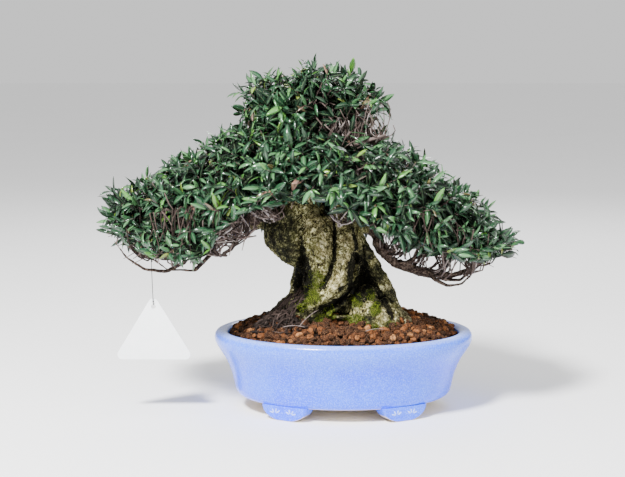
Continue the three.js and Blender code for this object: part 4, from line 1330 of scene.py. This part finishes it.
print("twigs")
twigs = {
    "seed": 31, "radii": (0.95, 0.55), "lowRadii": (0.85, 0.55), "upperRadii": (0.8, 0.4),
    # how many limb points near a shoot are found, and among how many of them one is picked
    "found": 14, "picked": 8,
    # low limbs: (which, how many twigs, how far they go to the front or the back)
    "low": [(0, 60, (6, 60)), (1, 44, (4, 55)), (2, 20, (2, 26)), (3, 34, (2, 30)), (4, 18, (4, 30)),
            (5, 20, (2, 34)), (6, 20, (2, 34)), (7, 14, (4, 34)), (8, 10, (2, 26)), (9, 16, (2, 14)),
            (10, 16, (2, 14))],
    # the lowest that they hang, as (across, height seen from the front), and how far across they end
    "limit": [(-260, 12), (-243, 10), (-233, 0), (-223, -11), (-203, -20), (-183, -26), (-163, -30),
              (-148, -36), (-124, -21), (-103, -12), (-90, -5), (-60, 0), (20, 0), (36, -17), (54, -33),
              (83, -38), (100, -44), (120, -43), (140, -32), (160, -24), (172, -14), (190, -8)],
    "ends": (-214, 158), "cover": 16,
    # (how many twigs, the line that they start on, how far they go across, in depth and up)
    "upper": [(120, (-26, -26, 258), (34, -34, 268), (-26, 20), (-24, 20), (6, 44)),
              (24, (-6, -38, 186), (8, -36, 190), (-16, 18), (-34, -8), (10, 30)),
              (30, (-72, -40, 190), (-62, -42, 194), (-30, 4), (-30, -6), (8, 30)),
              (34, (-110, -26, 168), (-92, -20, 177), (-20, 10), (-50, -14), (14, 46)),
              (24, (36, -6, 162), (84, -8, 140), (-10, 14), (-44, -8), (32, 58)),
              (34, (-200, -70, 200), (-92, -100, 220), (-14, 14), (-10, 4), (-50, -20)),
              (20, (56, -96, 210), (132, -72, 184), (-14, 14), (-10, 4), (-44, -18))],
    "crownBranch": [(-26, -8, 240), (-14, -34, 256), (10, -42, 268), (40, -38, 275)],
    "crownRadii": (3.2, 1.7),
}
roots = {
    "count": 360, "across": (-84, -34), "deep": (-56, -16), "step": 4.4, "top": 122, "jump": 9, "reach": 108,
    "straws": [((-44, -62, 92), (-25, -48, 106)), ((-60, -60, 91), (-38, -66, 92)),
               ((20, -70, 89), (38, -66, 90))],
    "strawRadii": (0.45, 0.3), "strawTone": 0.82,
}


def curveTo(a, b, c, d):
    # six points on a curve from a to d
    return [a * (1 - t) ** 3 + b * 3 * (1 - t) ** 2 * t + c * 3 * (1 - t) * t * t + d * t ** 3
            for t in (i / 5 for i in range(6))]


def rootGround(x, y, rand):
    # on the wood where there is some, or on the heap of crumbs beside it
    hit = woodTree.ray_cast(Vector((x, y, roots["top"])), Vector((0, 0, -1)))[0]
    heap = rand.uniform(3, 13) * clamp(1.5 - math.hypot((x + 62) / 26, (y + 38) / 24))
    return max(soilHeight(x, y) + heap, hit.z + rand.uniform(0, 1.2) if hit else 0)


def rootMat(copies, rand):
    # dark fibrous roots over the left foot of the trunk, and a few straws on the soil
    for _ in range(roots["count"]):
        x, y = rand.uniform(*roots["across"]), rand.uniform(*roots["deep"])
        heading = rand.uniform(2.4, 4.6)
        line = []
        for _ in range(6):
            line.append(Vector((x, y, rootGround(x, y, rand))))
            x += math.cos(heading) * roots["step"]
            y += math.sin(heading) * roots["step"]
            heading += rand.gauss(0, 0.28)
        jump = max(abs(a.z - b.z) for a, b in zip(line, line[1:]))
        if jump < roots["jump"] and ovalReach(x, y) < roots["reach"]:
            copies.add(twigRod, rodWarp(line, (rand.uniform(0.5, 1.5), 0.35)), rand.uniform(0, 1) ** 2 * 0.5)
    for ends in roots["straws"]:
        a, b = (Vector(end) for end in ends)
        lift = Vector((0, 0, (a - b).length * 0.1))
        line = curveTo(a, a + (b - a) / 3 + lift, b - (b - a) / 3 + lift, b)
        copies.add(twigRod, rodWarp(line, roots["strawRadii"]), roots["strawTone"])


def lowTwigs(copies, rand):
    # twigs that leave the low limbs, sag, and rise into the leaves at the rim
    for index, count, depths in twigs["low"]:
        points = smoothLine(limbLines[index], 8)
        for _ in range(count):
            spot = rand.choice(points[3:])
            side = rand.choice((-1, -1, 1))
            away = rand.uniform(*depths)
            out = 1 if spot.x > -30 else -1
            end = spot + Vector((out * rand.uniform(-4, 44), side * away, rand.uniform(22, 54)))
            low = Vector((out * rand.uniform(6, 26), side * away * 0.5, rand.uniform(-9, 3)))
            high = Vector((out * rand.uniform(-2, 6), side * away * 0.15, -rand.uniform(8, 24)))
            line = curveTo(spot, spot + low, end + high, end)
            clear = max(underLine(twigs["limit"], p) for p in line) < 0
            inside = twigs["ends"][0] < end.x < twigs["ends"][1]
            if clear and inside and end.z < profileAt(umbrella, end.x)[0] - twigs["cover"]:
                line = [p + Vector([rand.gauss(0, reach) for reach in (0.9, 0.9, 0.6)]) for p in line]
                copies.add(twigRod, rodWarp(line, twigs["lowRadii"]), rand.random())


def upperTwigs(copies, rand):
    # fans of bare twigs: those that rise and those that hang
    for count, low, high, across, deep, up in twigs["upper"]:
        rises = up[1] > 0
        for _ in range(count):
            spot = Vector(low).lerp(Vector(high), rand.random())
            end = spot + Vector((rand.uniform(*across), rand.uniform(*deep), rand.uniform(*up)))
            bend = Vector((rand.uniform(-8, 8), rand.uniform(-8, 4), rand.uniform(2, 10)))
            pull = Vector((rand.uniform(-9, 9), 0, -10 if rises else 14))
            line = curveTo(spot, spot + bend, end + pull, end)
            if rises or underLine(curtain, end) < -3:
                tone = rand.uniform(0.1, 1 if rises else 0.6)
                copies.add(twigRod, rodWarp(line, twigs["upperRadii"]), tone)
    line = curveTo(*(Vector(p) for p in twigs["crownBranch"]))
    copies.add(twigRod, rodWarp(line, twigs["crownRadii"]), 0.7)


def shootTwigs(copies, rand):
    # a twig from a limb near it to each shoot
    anchors = []
    for line in limbLines:
        points = smoothLine(line, 8)
        anchors += [(p, (b - a).normalized()) for p, a, b in zip(points, points, points[1:])]
    tree = pointTree([point for point, _ in anchors])
    for start, aim in shootStarts:
        point, index, _ = rand.choice(tree.find_n(start, twigs["found"])[:twigs["picked"]])
        along = anchors[index][1]
        reach = (start - point).length
        leave = (along * 0.7 + Vector((0, 0, -0.15)) + (start - point).normalized() * 0.6).normalized()
        a = point + leave * reach * 0.34
        b = start - aim * reach * 0.3 - Vector((0, 0, 1)) * reach * 0.06
        wobble = Vector([rand.uniform(-1, 1) for _ in range(3)]) * reach * 0.05
        copies.add(twigRod, rodWarp(curveTo(point, a + wobble, b, start), twigs["radii"]), rand.random())


def makeTwigs():
    rand = random.Random(twigs["seed"])
    copies = Copies()
    for grow in (shootTwigs, lowTwigs, upperTwigs, rootMat):
        grow(copies, rand)
    newPiece("fine_twigs", copies.mesh("twigMesh"), [twigLook])


makeTwigs()

# the floor and the light

print("stage")
studio = {
    "floor": (246, 246, 246), "cloud": (250, 250, 250), "world": (255, 255, 255), "worldStrength": 0.9,
    "floorSize": 30, "target": (-10, 0, 150),
    # (name, where, size in metres, power)
    "lights": [("keyLight", (-650, -1150, 1500), 0.36, 132), ("fillLight", (1300, -1000, 700), 1.2, 12),
               ("rimLight", (300, 1500, 1300), 1.0, 14)],
}


def floorMaterial():
    paint = Paint("paleFloor")
    base = paint.blend(paint.noise(size=400, detail=2), colour(*studio["floor"]), colour(*studio["cloud"]))
    return paint.finish(baseColor=base, roughness=0.9)


def makeFloor():
    bm = bmesh.new()
    bmesh.ops.create_grid(bm, x_segments=2, y_segments=2, size=studio["floorSize"])
    floor = bpy.data.objects.new("floor", meshFrom(bm, "floorMesh"))
    bpy.context.scene.collection.objects.link(floor)
    floor.data.materials.append(floorMaterial())


def makeLight():
    world = bpy.data.worlds.new("studio")
    bpy.context.scene.world = world
    world.use_nodes = True
    shade = world.node_tree.nodes["Background"].inputs
    shade["Color"].default_value = colour(*studio["world"])
    shade["Strength"].default_value = studio["worldStrength"]
    for name, at, size, power in studio["lights"]:
        light = bpy.data.objects.new(name, bpy.data.lights.new(name, "AREA"))
        bpy.context.scene.collection.objects.link(light)
        light.data.shape = "DISK"
        light.data.size = size
        light.data.energy = power
        light.location = place(*at)
        aim = place(*studio["target"]) - light.location
        light.rotation_euler = aim.to_track_quat("-Z", "Y").to_euler()


makeFloor()
makeLight()
